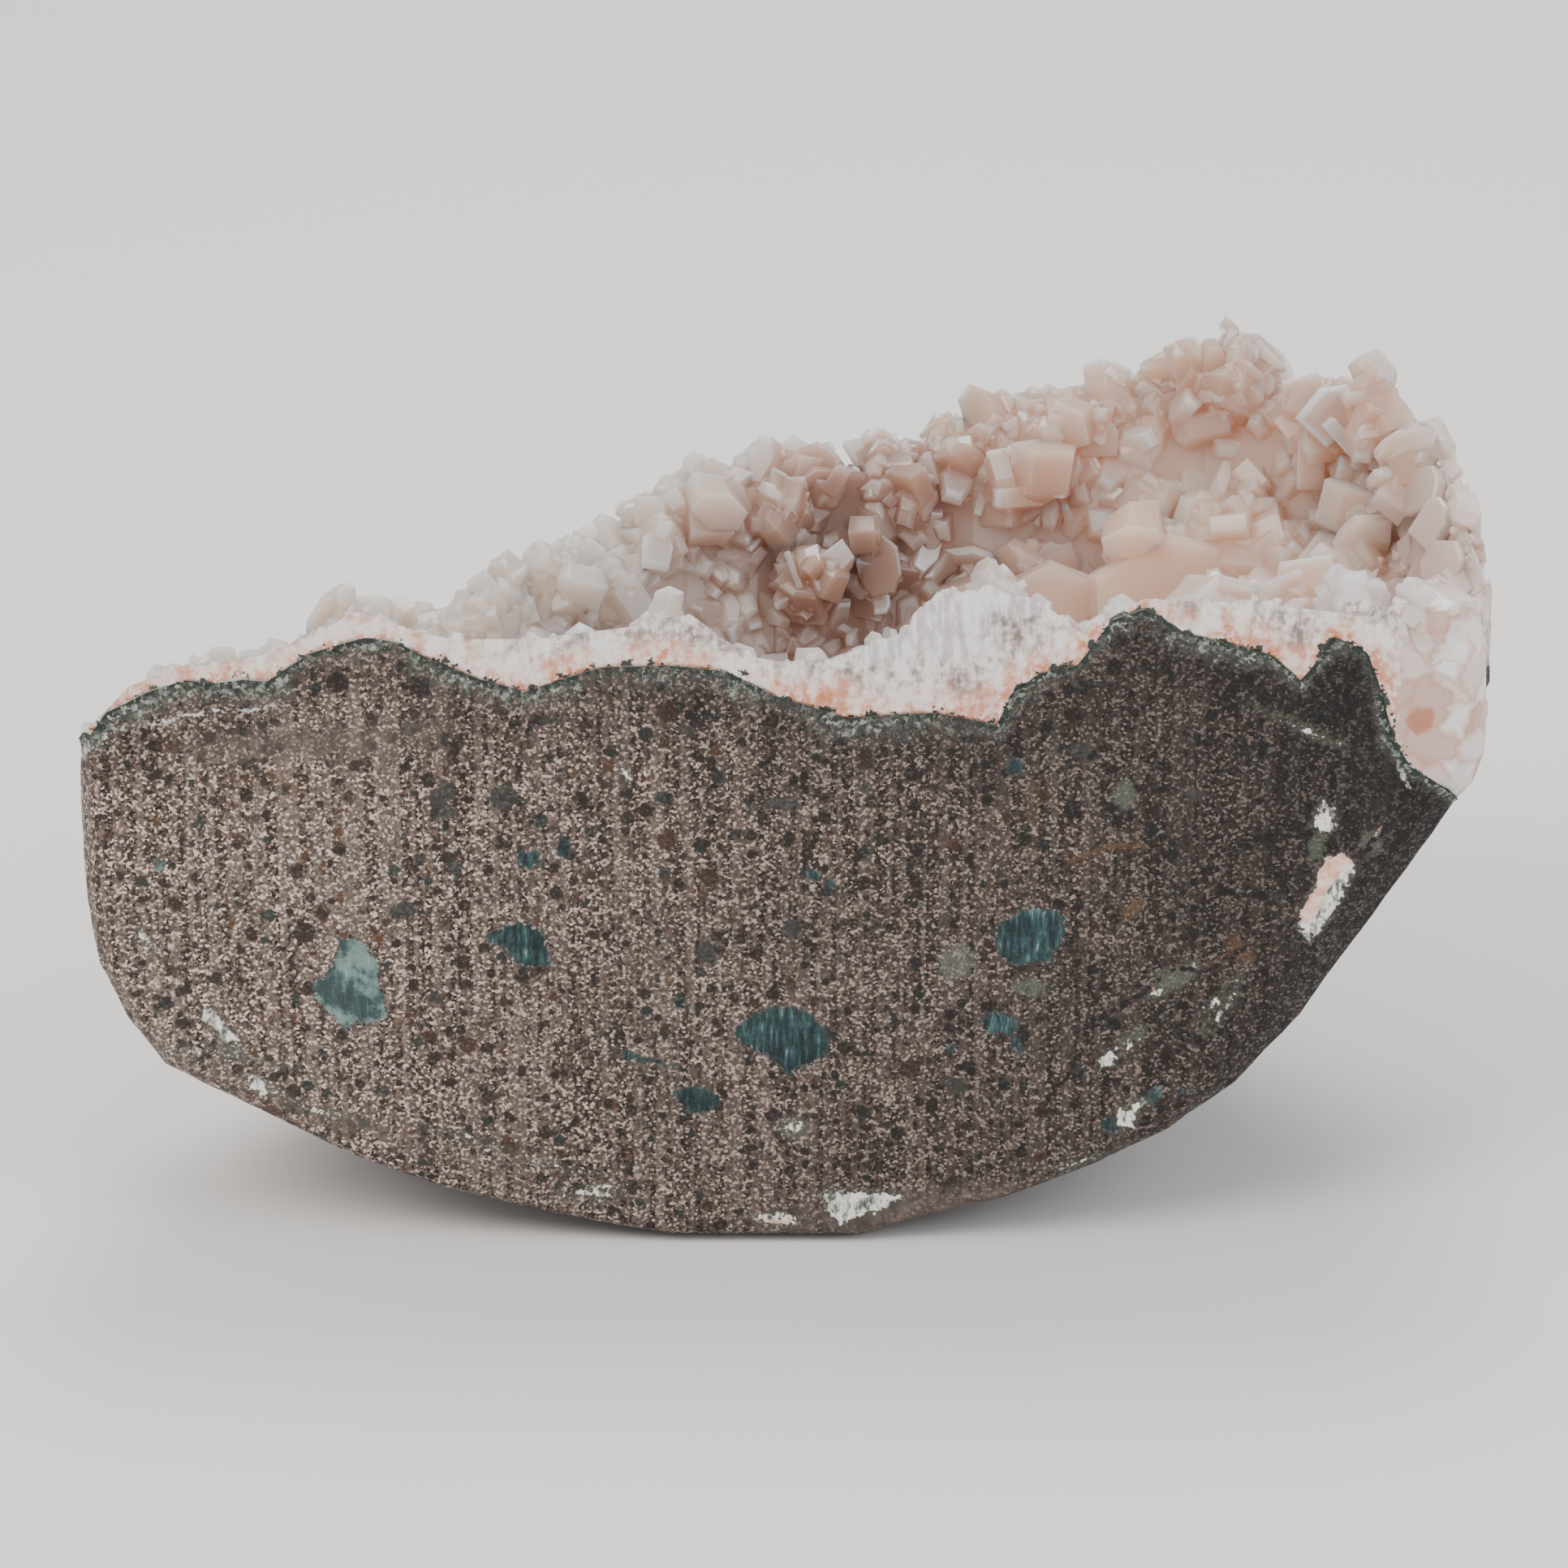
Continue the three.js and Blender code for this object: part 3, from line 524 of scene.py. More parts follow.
def makeBasaltMesh():
    work = cadCopy("basalt_matrix")
    sawn = [f for f in work.faces
            if f.normal.y < -0.999 and isBehindSawn(f.calc_center_median(), 0.01)]
    takeOut(work, sawn)

    def lengthAt(edge):
        middle = (edge.verts[0].co + edge.verts[1].co) / 2
        if edge.is_boundary:
            return rock["edgeStep"]
        if isUnderCrust(middle):
            inRim = isBehindSawn(middle, rock["innerRim"])
            return rock["rimStep" if inRim else "hiddenStep"]
        inRim = middle.y <= sawnPlane + rock["outerRim"] * mm
        return rock["rimStep" if inRim else "skinStep"]
    splitLong(work, lengthAt)
    fillSawnFace(work)
    takeOutFolds(work)
    work.normal_update()

    # The skin gets lumps, the sawn face pits, and the side under the crust meets the crust
    moves, pits = {}, {}
    for v in work.verts:
        p = v.co / mm
        onFace = isBehindSawn(v.co, 0.001)
        if onFace and all(f.normal.y < -0.99 for f in v.link_faces):
            pits[v] = pitAt(p)
            moves[v] = Vector((0, pits[v] * rock["pitDepth"] * mm, 0))
        elif isUnderCrust(v.co):
            normal = Vector((0, 0, 0))
            for f in v.link_faces:
                if f.normal.y > -0.99:
                    normal += f.normal
            if onFace:
                normal.y = 0
            moves[v] = normal.normalized() * rock["fillOver"] * mm
        elif not onFace:
            pits[v] = pitAt(p)
            away = min(1, (v.co.y - sawnPlane) / (rock["lumpsFrom"] * mm))
            rise = sum(height * noise.noise(p / size) for size, height in rock["skinLumps"])
            sunk = pits[v] * rock["skinPitDepth"]
            moves[v] = v.normal * (rise * away - sunk * away) * mm
    for v, move in moves.items():
        v.co += move
        v.co.z = max(v.co.z, 0)
    pitValues = [pits.get(v, 0.0) for v in work.verts]
    mesh = bpy.data.meshes.new("basalt")
    work.to_mesh(mesh)
    work.free()

    # How far each point is from the crust and from every kind of mark, in mm
    points = pointsOf(mesh) / mm
    behind = points[:, 1] - sawnPlane / mm
    fade = np.clip(behind - rock["markDepth"], 0, None)
    writeAttribute(mesh, "pit", pitValues)
    writeAttribute(mesh, "fromCrust", distancesTo(crustTree, points * mm))
    for name in bubbles:
        writeAttribute(mesh, name, bubbleDistance(points, bubbles[name]) + fade)
    for name in lines:
        writeAttribute(mesh, name, lineDistance(points, lines[name]) + fade)
    mesh.shade_smooth()
    mesh.set_sharp_from_angle(angle=math.radians(40))
    return mesh


def makeBasaltMaterial():
    material, w, shader = newMaterial("basalt")
    at = w.place()
    x = w.add("ShaderNodeSeparateXYZ", {0: at}).outputs["X"]

    def cellsMoved(size, shift):
        return w.cells(size, w.vector("ADD", at, (shift, shift, shift)))

    # Grains: pale feldspar between dark ones
    fine = w.noise(0.25, 2, 0.6, at)
    pick = w.numbers(cellsMoved(rock["grain"], 0.0))[0]
    grain = w.plus(w.times(pick, 0.8), w.times(fine, 0.2))
    color = w.ramp(grain, rock["grainColors"])
    # Saw marks, faint and upright
    marks = w.noise(0.9, 1, 0.5, w.place((1, 0.02, 0.02)))
    color = w.blend(w.step(marks, 0.4, 0.62, 0, 0.16), color, "#d8c9c0")
    # Brown and dark specks of many sizes, with the small open bubbles darkened by their depth as
    # painted shade in the holes
    for size, least, most, shift in rock["specks"]:
        cells = cellsMoved(size, shift)
        pick, hue, _ = w.numbers(cells)
        speckSize = w.step(pick, least, 1, 0.08, most, "LINEAR")
        isPicked = w.step(pick, least - 0.01, least, 0, 0.92)
        rough = w.swing(w.noise(0.8, 3, 0.7, at), 1.4 / size)
        away = w.plus(cells.outputs["Distance"], rough)
        isSpeck = w.step(w.minus(away, speckSize), -0.08, 0, 1, 0)
        speckColor = w.ramp(hue, rock["speckColors"], "CONSTANT")
        color = w.blend(w.times(isSpeck, isPicked), color, speckColor)
    color = w.blend(w.step(w.attribute("pit"), 0.1, 0.6, 0, 0.7), color, "#33261d")
    # The rock is darker to the right, which is painted shade where the light falls off, and darker
    # near the crust and in broad patches
    fromCrust = w.attribute("fromCrust")
    patches = w.step(w.noise(14, 3, 0.6, at), 0.35, 0.65, -0.12, 0.12)
    toRight = w.step(w.plus(x, w.times(patches, 60)), -70, 90, 0, 1, "LINEAR")
    color = w.blend(1.0, color, w.ramp(toRight, rock["paintedShadeToRight"]), "MULTIPLY")
    nearCrust = w.step(w.plus(fromCrust, w.times(patches, 25)), 1, 9, 0.75, 0)
    color = w.blend(nearCrust, color, "#a9a2a0", "MULTIPLY")

    # Lines and filled bubbles, their outlines made ragged
    stripes = w.noise(0.7, 3, 0.7, w.place((1, 1, 0.14), (0, math.radians(-14), 0)))
    clouds = w.noise(3.4, 3, 0.65, at)
    teal = w.ramp(w.plus(w.times(stripes, 0.65), w.times(clouds, 0.35)), rock["tealColors"])
    paler = w.blend(w.step(clouds, 0.42, 0.58, 0.1, 0.55), teal, "#8aa59e")
    teal = w.blend(w.step(x, -50, -44, 1, 0), teal, paler)  # only the bubble on the left
    white = w.noise(0.8, 3, 0.65, w.place((1, 1, 0.5), (0, math.radians(40), 0)))
    white = w.ramp(white, rock["whiteColors"])
    pink = w.ramp(w.noise(1.4, 3, 0.6, at), rock["pinkColors"])
    smooth = w.blend(w.step(w.noise(2.5, 3, 0.6, at), 0.4, 0.6), "#4d423c", "#6a5d55")
    green = w.ramp(fine, [(0.3, "#384036"), (0.7, "#747b6d")])
    dark = w.ramp(w.noise(0.8, 2, 0.6, at), [(0.35, "#1e2424"), (0.65, "#3d3a33")])
    wobble = w.swing(w.noise(0.9, 3, 0.65, at), 2)
    # How ragged a mark is, how far it goes past its outline, how soft, how strong
    for name, shift, reach, soft, share, over in (
            ("smooth", 3, 0, 2, 0.75, smooth), ("green", 1.2, 0.2, 0.6, 0.55, green),
            ("brownLine", 0.9, 0, 0.3, 0.6, "#5b4029"), ("dark", 0.9, 0, 0.08, 0.9, dark),
            ("teal", 1.2, 0.15, 0.3, 0.6, "#3c4441"), ("teal", 1.2, -0.1, 0.08, 1, teal),
            ("white", 1.6, 0.5, 0.4, 0.65, "#45443b"), ("white", 1.5, -0.1, 0.08, 1, white),
            ("pink", 0.6, 0, 0.08, 1, pink), ("vein", 1, 0.1, 0.15, 0.85, white),
            ("crack", 1.2, 0.5, 0.5, 0.35, "#4b3f39"), ("crack", 1.3, 0.1, 0.12, 1, "#140e0b")):
        edge = w.plus(w.attribute(name), w.times(wobble, shift))
        mask = w.step(edge, reach - soft, reach + soft, 1, 0)
        color = w.blend(w.times(mask, share), color, over)

    # The green layer under the crust: grey-green grains with a dark, ragged upper edge
    layer = w.plus(fromCrust, w.swing(w.noise(1.3, 3, 0.75, at), 4.4))
    thinner = w.plus(layer, w.step(w.noise(7, 2, 0.5, at), 0.35, 0.6, 0.8, 0))
    grains = w.ramp(w.numbers(cellsMoved(0.5, 5))[0], rock["layerColors"])
    for share, over in ((w.times(w.step(thinner, 1.2, 2.4, 1, 0), 0.5), "#4a4844"),
                        (w.step(thinner, 1, 1.3, 0.9, 0), grains),
                        (w.step(layer, 0.2, 0.5, 1, 0), "#1f2a23")):
        color = w.blend(share, color, over)

    height = w.plus(w.times(grain, 0.7), w.times(marks, 0.3))
    height = w.minus(height, w.times(mask, 1.8))  # the last mask is the crack's
    w.feed(shader, {"Base Color": color, "Roughness": w.step(grain, 0.6, 0.9, 0.85, 0.45),
                    "Normal": w.bump(height, 0.15)})
    return material


newPiece("basalt_rock", makeBasaltMesh(), makeBasaltMaterial(), "basalt_matrix")


# The heulandite crust

crust = {
    "density": 0.068,  # crystals a square millimetre, where they have their full size
    "width": (4.6, 11), "height": (4.4, 9),  # in mm
    "leastSize": 0.58,  # smaller crystals stand closer together, down to this share
    "sunk": 0.85,  # share of a crystal's height that the crust hides
    "seed": 8,
    # Shares of the full size, by mm behind the sawn face, by x and by mm from the rock's skin
    "sizeBehind": ([0, 3, 9, 18], [0.45, 0.5, 0.65, 0.95]),
    "sizeAcross": ([-96, -80, -40, 10, 60, 80, 96], [0.6, 0.75, 0.85, 1, 1.1, 1, 0.9]),
    "sizeFromSkin": ([2, 7], [0.45, 1]),
    "sizeOnFarRim": 0.62, "sizeAtRightEnd": 0.5,
    # How far crystals keep from the rock and its skin in mm, and from a placed crystal, as a
    # share of its width or height
    "fromRock": 1.2, "fromSkin": 1.5, "aroundPlaced": 0.42,
    "groundStep": 2.2,  # mesh size of what they grow on
    # the dark part is partly the crystals' rosy brown, partly painted shade of the deep hollow
    "darkest": (10, 26, 72),  # middle of the dark, rosy brown part, in mm
    "flush": 0.2,  # share of its thickness by which a placed crystal is set back
    # Depth and size of a placed crystal's flat face, its widest part and its back, in shares
    "bevel": ((-0.5, 0.9), (-0.36, 1.0), (0.5, 0.86)),
    "bandStep": 1.2, "bodyStep": 14,  # mesh sizes on the sawn band and elsewhere, in mm
    "kerf": 0.01,  # how far behind the CAD's sawn plane the crystals end, in mm
    "rightEnd": 85.5,  # x in mm, beyond which nothing stands out of the stone's hull
    "clear": 0.2,  # share of light that passes straight through
    "milky": 22,  # how far light goes round inside, in mm
    "rounding": 0.3,  # radius of the edges in the light, in mm
    # Where each colour lies is in makeHeulanditeMaterial
    # the depth colour is partly the crystals' rosy brown, partly painted shade of the deep hollow
    "colors": {"middle": "#bf9c8b", "right": "#f5cab4", "left": "#d6c4b7", "depth": "#83604f",
               # the tips' colour is painted light, as if lit through the tips
               "clouds": "#cbab9a", "top": "#a48778", "tips": "#f0e5de", "white": "#faf4f0",
               # the pale and dark facets' colours are painted light and shade on the facets
               "paleFacets": "#f3eae5", "darkFacets": "#a98b7b", "rightEnd": "#f3e6e0",
               "front": "#f4eeea", "seam": "#cf9f8b", "stain": "#bd7652",
               "orange": "#dc8257", "layer": "#28332c"},
    # The same for the cells on the right end and for the sawn band
    "cellColors": [(0.15, "#cda898"), (0.4, "#dfc8be"), (0.6, "#ead9d2"), (0.9, "#fbf5f2")],
    "whiteBand": [(0.4, "#8a7972"), (0.46, "#c0afa8"), (0.51, "#ecddd5"), (0.57, "#fffaf7")],
    "pinkBand": [(0.4, "#dc9a7e"), (0.46, "#efc2b0"), (0.52, "#fbe2d7"), (0.6, "#fff6f0")],
}
# Outlines of crystals with their root at the bottom, from -0.5 to 0.5 across and up to 1
outlines = {
    "coffin": [(-0.42, 0), (0.42, 0), (0.5, 0.5), (0.14, 1), (-0.1, 0.97), (-0.46, 0.62)],
    "block": [(-0.44, 0), (0.44, 0), (0.46, 0.66), (0.2, 0.96), (-0.16, 1), (-0.42, 0.8)],
    "slant": [(-0.45, 0), (0.42, 0), (0.5, 0.55), (0.3, 0.9), (-0.1, 1), (-0.48, 0.6)],
    "point": [(-0.4, 0), (0.42, 0), (0.44, 0.6), (0.04, 1), (-0.36, 0.7)],
    "square": [(-0.46, 0), (0.46, 0), (0.5, 0.74), (0.3, 0.94), (-0.3, 1), (-0.47, 0.82)],
    "hexagon": [(-0.3, 0), (0.3, 0.04), (0.5, 0.3), (0.48, 0.76), (0.14, 1), (-0.46, 0.72),
                (-0.5, 0.24)],
    "bar": [(-0.5, 0), (0.5, 0), (0.5, 0.9), (0.3, 1), (-0.5, 0.96)],
}
# Scattered forms: corners, thickness, height and share of the shoulder, share of the flat top
# and how much it slopes
scatteredForms = [
    [6, 0.72, 0.88, 0.96, 0.52, 0.40], [4, 0.62, 0.80, 0.86, 0.40, -0.44],
    [5, 0.85, 0.84, 0.92, 0.46, 0.36], [6, 0.50, 0.90, 1.00, 0.60, 0.20],
    [5, 0.62, 0.92, 0.90, 0.70, 0.42], [5, 0.92, 0.80, 0.90, 0.30, -0.30],
    [7, 0.88, 0.82, 0.90, 0.46, 0.30], [6, 0.60, 0.86, 0.94, 0.64, -0.40],
]
# Crystals placed one by one: middle of the flat face, where it faces, outline, width, height,
# thickness, turn, in mm and degrees. Those with x from 86 to 89 and from 28 to 34 fill gaps,
# the others stand about where the photo shows one.
placedCrystals = [
    [(2, 31.6, 84.6), (0.1, -0.9, 0.45), "hexagon", 9, 8.5, 6, 4],
    [(-13.5, 28.5, 82.6), (0.3, -0.8, 0.5), "hexagon", 7, 6.5, 6, -12],
    [(12, 26.6, 71.3), (-0.08, -0.96, 0.25), "hexagon", 6, 9, 5, -8],
    [(-8.3, 25.8, 74.9), (0.15, -0.75, 0.65), "block", 7.5, 4.5, 5, 10],
    [(-16.2, 21, 69), (0.35, -0.9, 0.2), "hexagon", 9, 7.4, 6, 30],
    [(-25.5, 12.8, 72), (0.45, -0.85, 0.15), "block", 5, 9.4, 5, 6],
    [(36.5, 17, 67), (-0.16, -0.95, 0.26), "slant", 21, 15, 12, 8],
    [(52, 13.4, 72.6), (0.06, -0.97, 0.22), "hexagon", 21, 13.5, 10, -10],
    [(88.2, -12, 84.5), (-0.8, -0.5, 0.35), "hexagon", 8, 7.5, 3, 10],
    [(86.8, -8, 80.5), (-0.85, -0.45, 0.25), "slant", 9, 8, 2.6, 24],
    [(86.6, -1.5, 85), (-0.93, -0.2, 0.3), "block", 8.5, 9, 2.6, -16],
    [(86.8, 4.5, 84), (-0.8, -0.55, 0.2), "hexagon", 8, 8, 2.6, 35],
    [(86.6, 1.5, 91), (-0.85, -0.35, 0.4), "slant", 8, 7, 2.4, -30],
    [(87.2, -6, 88.5), (-0.8, -0.4, 0.45), "block", 7, 7, 2.4, 12],
    [(63.6, 16.4, 74.5), (0.22, -0.93, 0.27), "point", 10.6, 13.4, 7, -84],
    [(73.8, 20.6, 88.5), (0.1, -0.95, 0.25), "bar", 4, 7.6, 4, 3],
    [(43.4, 33.2, 89.3), (-0.2, -0.94, 0.25), "coffin", 6.4, 7, 5, -6],
    [(33.6, 32.4, 80), (0.15, -0.9, 0.4), "hexagon", 7.5, 7, 6, -25],
    [(30.6, 30.6, 83.4), (-0.5, -0.7, 0.5), "block", 6.5, 6.5, 5, 18],
    [(28, 32, 79.4), (-0.7, -0.65, 0.25), "slant", 7, 7.5, 5, -12],
    [(31, 32.6, 75.4), (-0.2, -0.95, 0.2), "square", 7, 6, 5, 14],
    [(59.5, 29.8, 84.3), (0, -0.7, 0.7), "block", 9, 4.4, 6, -4],
    [(67.3, 25.6, 84.2), (0.1, -0.93, 0.35), "square", 7.8, 7.2, 6, -10],
    [(73.2, 20, 79), (0.3, -0.8, 0.5), "point", 4, 4.4, 4, 40],
    [(-78, -32.4, 76.6), (-0.2, -0.5, 0.85), "hexagon", 8.6, 6, 5, 70],
    [(-60.2, -13.4, 77.4), (0.1, -0.8, 0.6), "square", 9, 6.6, 6, -5],
    [(-39.7, 3.4, 69.6), (0.35, -0.85, 0.4), "hexagon", 12, 7, 6, 80],
]
# White ones, in the same way
whiteCrystals = [
    [(76.2, 20.4, 96.6), (-0.25, -0.9, 0.3), "coffin", 7.5, 9, 3, 38],
    [(80, 19.6, 94.8), (0.1, -0.88, 0.45), "bar", 2.4, 7.6, 3, 40],
    [(77.4, 18.6, 93.4), (-0.1, -0.88, 0.45), "bar", 2.2, 6.4, 3, -44],
    [(83.6, 19, 96.2), (0.2, -0.85, 0.45), "slant", 6.5, 6, 3, -20],
    [(12.4, 27, 65.7), (0, -0.9, 0.45), "block", 4, 2.6, 3, 80],
    [(13.6, 26.4, 60.7), (0.1, -0.9, 0.4), "square", 2.4, 2.4, 3, 15],
    [(-19.9, 17.4, 77.3), (0.2, -0.85, 0.5), "coffin", 4.8, 7, 5, 12],
]


def crystalSolid(corners):
    # The convex solid of some corners, its flat faces whole
    work = bmesh.new()
    for corner in corners:
        work.verts.new(corner)
    bmesh.ops.convex_hull(work, input=work.verts)
    bmesh.ops.delete(work, geom=[v for v in work.verts if not v.link_faces], context="VERTS")
    bmesh.ops.dissolve_limit(work, angle_limit=math.radians(4), verts=work.verts, edges=work.edges)
    return work


def meshInto(collection, work, name):
    mesh = bpy.data.meshes.new(name)
    work.to_mesh(mesh)
    work.free()
    collection.objects.link(bpy.data.objects.new(name, mesh))
    return mesh


def makeForms():
    forms = bpy.data.collections.new("crystal forms")
    for k, (count, thickness, shoulder, share, top, slope) in enumerate(scatteredForms):
        ring = [math.tau * (c + 0.5) / count for c in range(count)]
        corners = [(0.5 * size * math.cos(t), 0.5 * thickness * size * math.sin(t),
                    z + tilt * 0.5 * size * math.cos(t))
                   for z, size, tilt in ((0, 1.0, 0), (shoulder, share, slope),
                                         (1.0, top, slope)) for t in ring]
        work = crystalSolid(corners)
        bmesh.ops.translate(work, vec=(0, 0, -crust["sunk"]), verts=work.verts)
        mesh = meshInto(forms, work, f"crystal{k}")
        tip = 1 - crust["sunk"]
        writeAttribute(mesh, "rise", [max(v.co.z, 0) / tip for v in mesh.vertices])
    return forms


def makeSolids():
    # The CAD's crust and the crystals placed one by one. Each point's rise is 0 at the foot of
    # a crystal and 1 at its tip, and 2 on a white one.
    solids = bpy.data.collections.new("crust and its placed crystals")
    mesh = meshInto(solids, cadCopy("heulandite_crust"), "crust")
    writeAttribute(mesh, "rise", np.clip(distancesTo(rockTree, pointsOf(mesh)) / 16 - 0.2, 0, 1))
    for k, row in enumerate(placedCrystals + whiteCrystals):
        middle, facing, outline, width, height, thickness, turn = row
        work = crystalSolid([(x * size, y, 0.5 + (z - 0.5) * size) for x, z in outlines[outline]
                             for y, size in crust["bevel"]])
        isWhite = k >= len(placedCrystals)
        setBack = 0.4 if isWhite else 0.5 + crust["flush"]
        shape = Matrix.Diagonal((width, thickness, height, 1))
        stand = Vector([-c for c in facing]).to_track_quat("Y", "Z").to_matrix().to_4x4()
        spin = Matrix.Rotation(math.radians(turn), 4, "Y")
        toFace = Matrix.Translation(Vector(middle)) @ stand @ spin
        toBack = Matrix.Translation((0, setBack, -0.5))
        work.transform(Matrix.Scale(mm, 4) @ toFace @ shape @ toBack)
        mesh = meshInto(solids, work, f"placed{k}")
        writeAttribute(mesh, "rise", [2.0 if isWhite else 0.5] * len(mesh.vertices))
    return solids


def makeCutters():
    # What takes off the crystals in front of the sawn face and inside the rock
    cutters = bpy.data.collections.new("cutters")
    size = (0.4, 0.1, 0.4)
    middle = (0, sawnPlane + crust["kerf"] * mm - size[1] / 2, 0.1)
    work = bmesh.new()
    bmesh.ops.create_cube(work, size=1)
    bmesh.ops.scale(work, vec=size, verts=work.verts)
    bmesh.ops.translate(work, vec=middle, verts=work.verts)
    meshInto(cutters, work, "in front")
    meshInto(cutters, cadCopy("basalt_matrix"), "rock")
    # What lies beyond the right end, which is the room there less the stone's hull
    corners = [v.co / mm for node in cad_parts.values() for v in node.data.vertices]
    hull = [c for c in corners if c.x > 40]
    room = [(x, y, z) for x in (crust["rightEnd"], 120) for y in (-80, 80) for z in (20, 130)]
    beyond = []
    for name, points in (("hull", hull), ("room", room)):
        beyond.append(bpy.data.collections.new(name))
        work = crystalSolid([Vector(p) * mm for p in points])
        meshInto(beyond[-1], work, name)
    return cutters, beyond


def skinTree():
    # The rock's natural outside, without the sawn face and the floor of the hollow
    hollowY, leastTurn = 0.02, 0.2
    work = cadCopy("basalt_matrix")
    lining = []
    for f in work.faces:
        middle = f.calc_center_median()
        outward = f.normal.x * middle.x + f.normal.y * (middle.y - hollowY)
        facesIn = not outward > leastTurn * middle.xy.length
        if f.normal.y < -0.9 or facesIn or isUnderCrust(middle):
            lining.append(f)
    takeOut(work, lining)
    return BVHTree.FromBMesh(work)


def makeGround():
    # Where crystals are scattered: the crust between its large and placed crystals
    work = cadCopy("heulandite_crust")
    skin = skinTree()
    bare = []
    for f in work.faces:
        middle = f.calc_center_median()
        buried = rockTree.find_nearest(middle)[3] < crust["fromRock"] * mm
        sawn = f.normal.y < -0.98 and isBehindSawn(middle, 0.5)
        # (the right end is ground flush)
        ground = (f.normal.x > 0.3 and middle.x > 72 * mm) or (
            middle.x > 86 * mm and f.normal.x > -0.3)
        atSkin = skin.find_nearest(middle)[3] < crust["fromSkin"] * mm
        if buried or sawn or ground or atSkin:
            bare.append(f)
    takeOut(work, bare)
    splitLong(work, lambda edge: crust["groundStep"])

    def isTaken(f):
        # Whether a placed crystal stands there
        middle, share = f.calc_center_median() / mm, crust["aroundPlaced"]
        return any((middle - Vector(row[0])).length < share * min(row[3], row[4])
                   for row in placedCrystals + whiteCrystals)
    takeOut(work, [f for f in work.faces if isTaken(f)])
    mesh = bpy.data.meshes.new("crystal ground")
    work.to_mesh(mesh)
    print("crystals grow on", round(sum(f.calc_area() for f in work.faces) / mm ** 2), "mm2")
    work.free()
    points = pointsOf(mesh) / mm
    x, y = points[:, 0], points[:, 1]
    size = np.interp(y - sawnPlane / mm, *crust["sizeBehind"])
    size *= np.interp(x, *crust["sizeAcross"])
    normals = np.array([v.normal[:] for v in mesh.vertices])
    onFarRim = (y > 10) & (normals[:, 2] > 0.5)
    size = np.where(onFarRim, size * crust["sizeOnFarRim"], size)
    size *= np.interp(distancesTo(skin, points * mm), *crust["sizeFromSkin"])
    writeAttribute(mesh, "size", np.where(x > 84, size * crust["sizeAtRightEnd"], size))
    return mesh


def scatterTree(settings, forms, solids, cutters, beyond):
    tree = bpy.data.node_groups.new("crystals on a crust", "GeometryNodeTree")
    w = Wiring(tree)
    face = tree.interface
    face.new_socket("Ground", in_out="INPUT", socket_type="NodeSocketGeometry")
    sockets = [face.new_socket(name, in_out="INPUT", socket_type="NodeSocket" + kind)
               for name, kind, _ in settings]
    face.new_socket("Crystals", in_out="OUTPUT", socket_type="NodeSocketGeometry")
    start = w.add("NodeGroupInput").outputs
    size = w.add("GeometryNodeInputNamedAttribute", {0: "size"}, data_type="FLOAT").outputs[0]
    spaced = w.calc("MAXIMUM", size, crust["leastSize"])
    dense = w.calc("DIVIDE", 1.0, w.times(spaced, spaced))
    points = w.add("GeometryNodeDistributePointsOnFaces", {
        "Mesh": start["Ground"], "Density": w.times(start["Density"], dense),
        "Seed": start["Seed"]}, distribute_method="RANDOM")

    def pick(kind, low, high, offset):
        # A random value for each crystal
        first = {"FLOAT": 2, "INT": 4, "FLOAT_VECTOR": 0}[kind]
        inputs = {"Seed": w.plus(start["Seed"], offset), first: low, first + 1: high}
        return w.add("FunctionNodeRandomValue", inputs, data_type=kind).outputs[first // 2]

    lean = pick("FLOAT_VECTOR", (-0.7, -0.8, -0.5), (0.7, 0.5, 0.7), 1)
    grow = w.vector("ADD", points.outputs["Normal"], lean)
    upright = w.add("FunctionNodeAlignRotationToVector", {"Vector": grow}, axis="Z").outputs[0]
    spin = w.add("FunctionNodeAxisAngleToRotation", {
        "Axis": (0, 0, 1), "Angle": pick("FLOAT", 0, math.tau, 2)}).outputs[0]
    turn = w.add("FunctionNodeRotateRotation", {0: upright, 1: spin},
                 rotation_space="LOCAL").outputs[0]
    width = w.times(pick("FLOAT", start["Narrowest"], start["Widest"], 3), size)
    height = w.times(pick("FLOAT", start["Lowest"], start["Tallest"], 4), size)
    depth = w.times(width, pick("FLOAT", 0.6, 1.1, 5))
    scale = w.add("ShaderNodeCombineXYZ", {0: width, 1: depth, 2: height}).outputs[0]
    shapes = w.add("GeometryNodeCollectionInfo", {0: forms, 1: True, 2: True}).outputs[0]
    planted = w.add("GeometryNodeInstanceOnPoints", {
        "Points": points.outputs["Points"], "Instance": shapes, "Pick Instance": True,
        "Instance Index": pick("INT", 0, len(scatteredForms) - 1, 6),
        "Rotation": turn, "Scale": scale}).outputs[0]

    def whole(collection):
        return w.add("GeometryNodeCollectionInfo", {0: collection, 1: True}).outputs[0]

    def real(instances):
        return w.add("GeometryNodeRealizeInstances", {0: instances}).outputs[0]

    def combine(operation, others, first=None):
        node = w.add("GeometryNodeMeshBoolean", {"Mesh 1": first} if first else None,
                     operation=operation, solver="MANIFOLD")
        for other in others:
            tree.links.new(other, node.inputs["Mesh 2"])
        return node.outputs[0]

    # One solid of the crust and all its crystals, then cut as the stone is
    grown = combine("UNION", [planted, whole(solids)])
    hull, room = beyond
    outside = combine("DIFFERENCE", [whole(hull)], real(whole(room)))
    cut = combine("DIFFERENCE", [whole(cutters), outside], grown)
    done = w.add("GeometryNodeSetMaterial", {0: real(cut), "Material": start["Finish"]})
    w.add("NodeGroupOutput", {0: done.outputs[0]})
    return tree, [socket.identifier for socket in sockets]


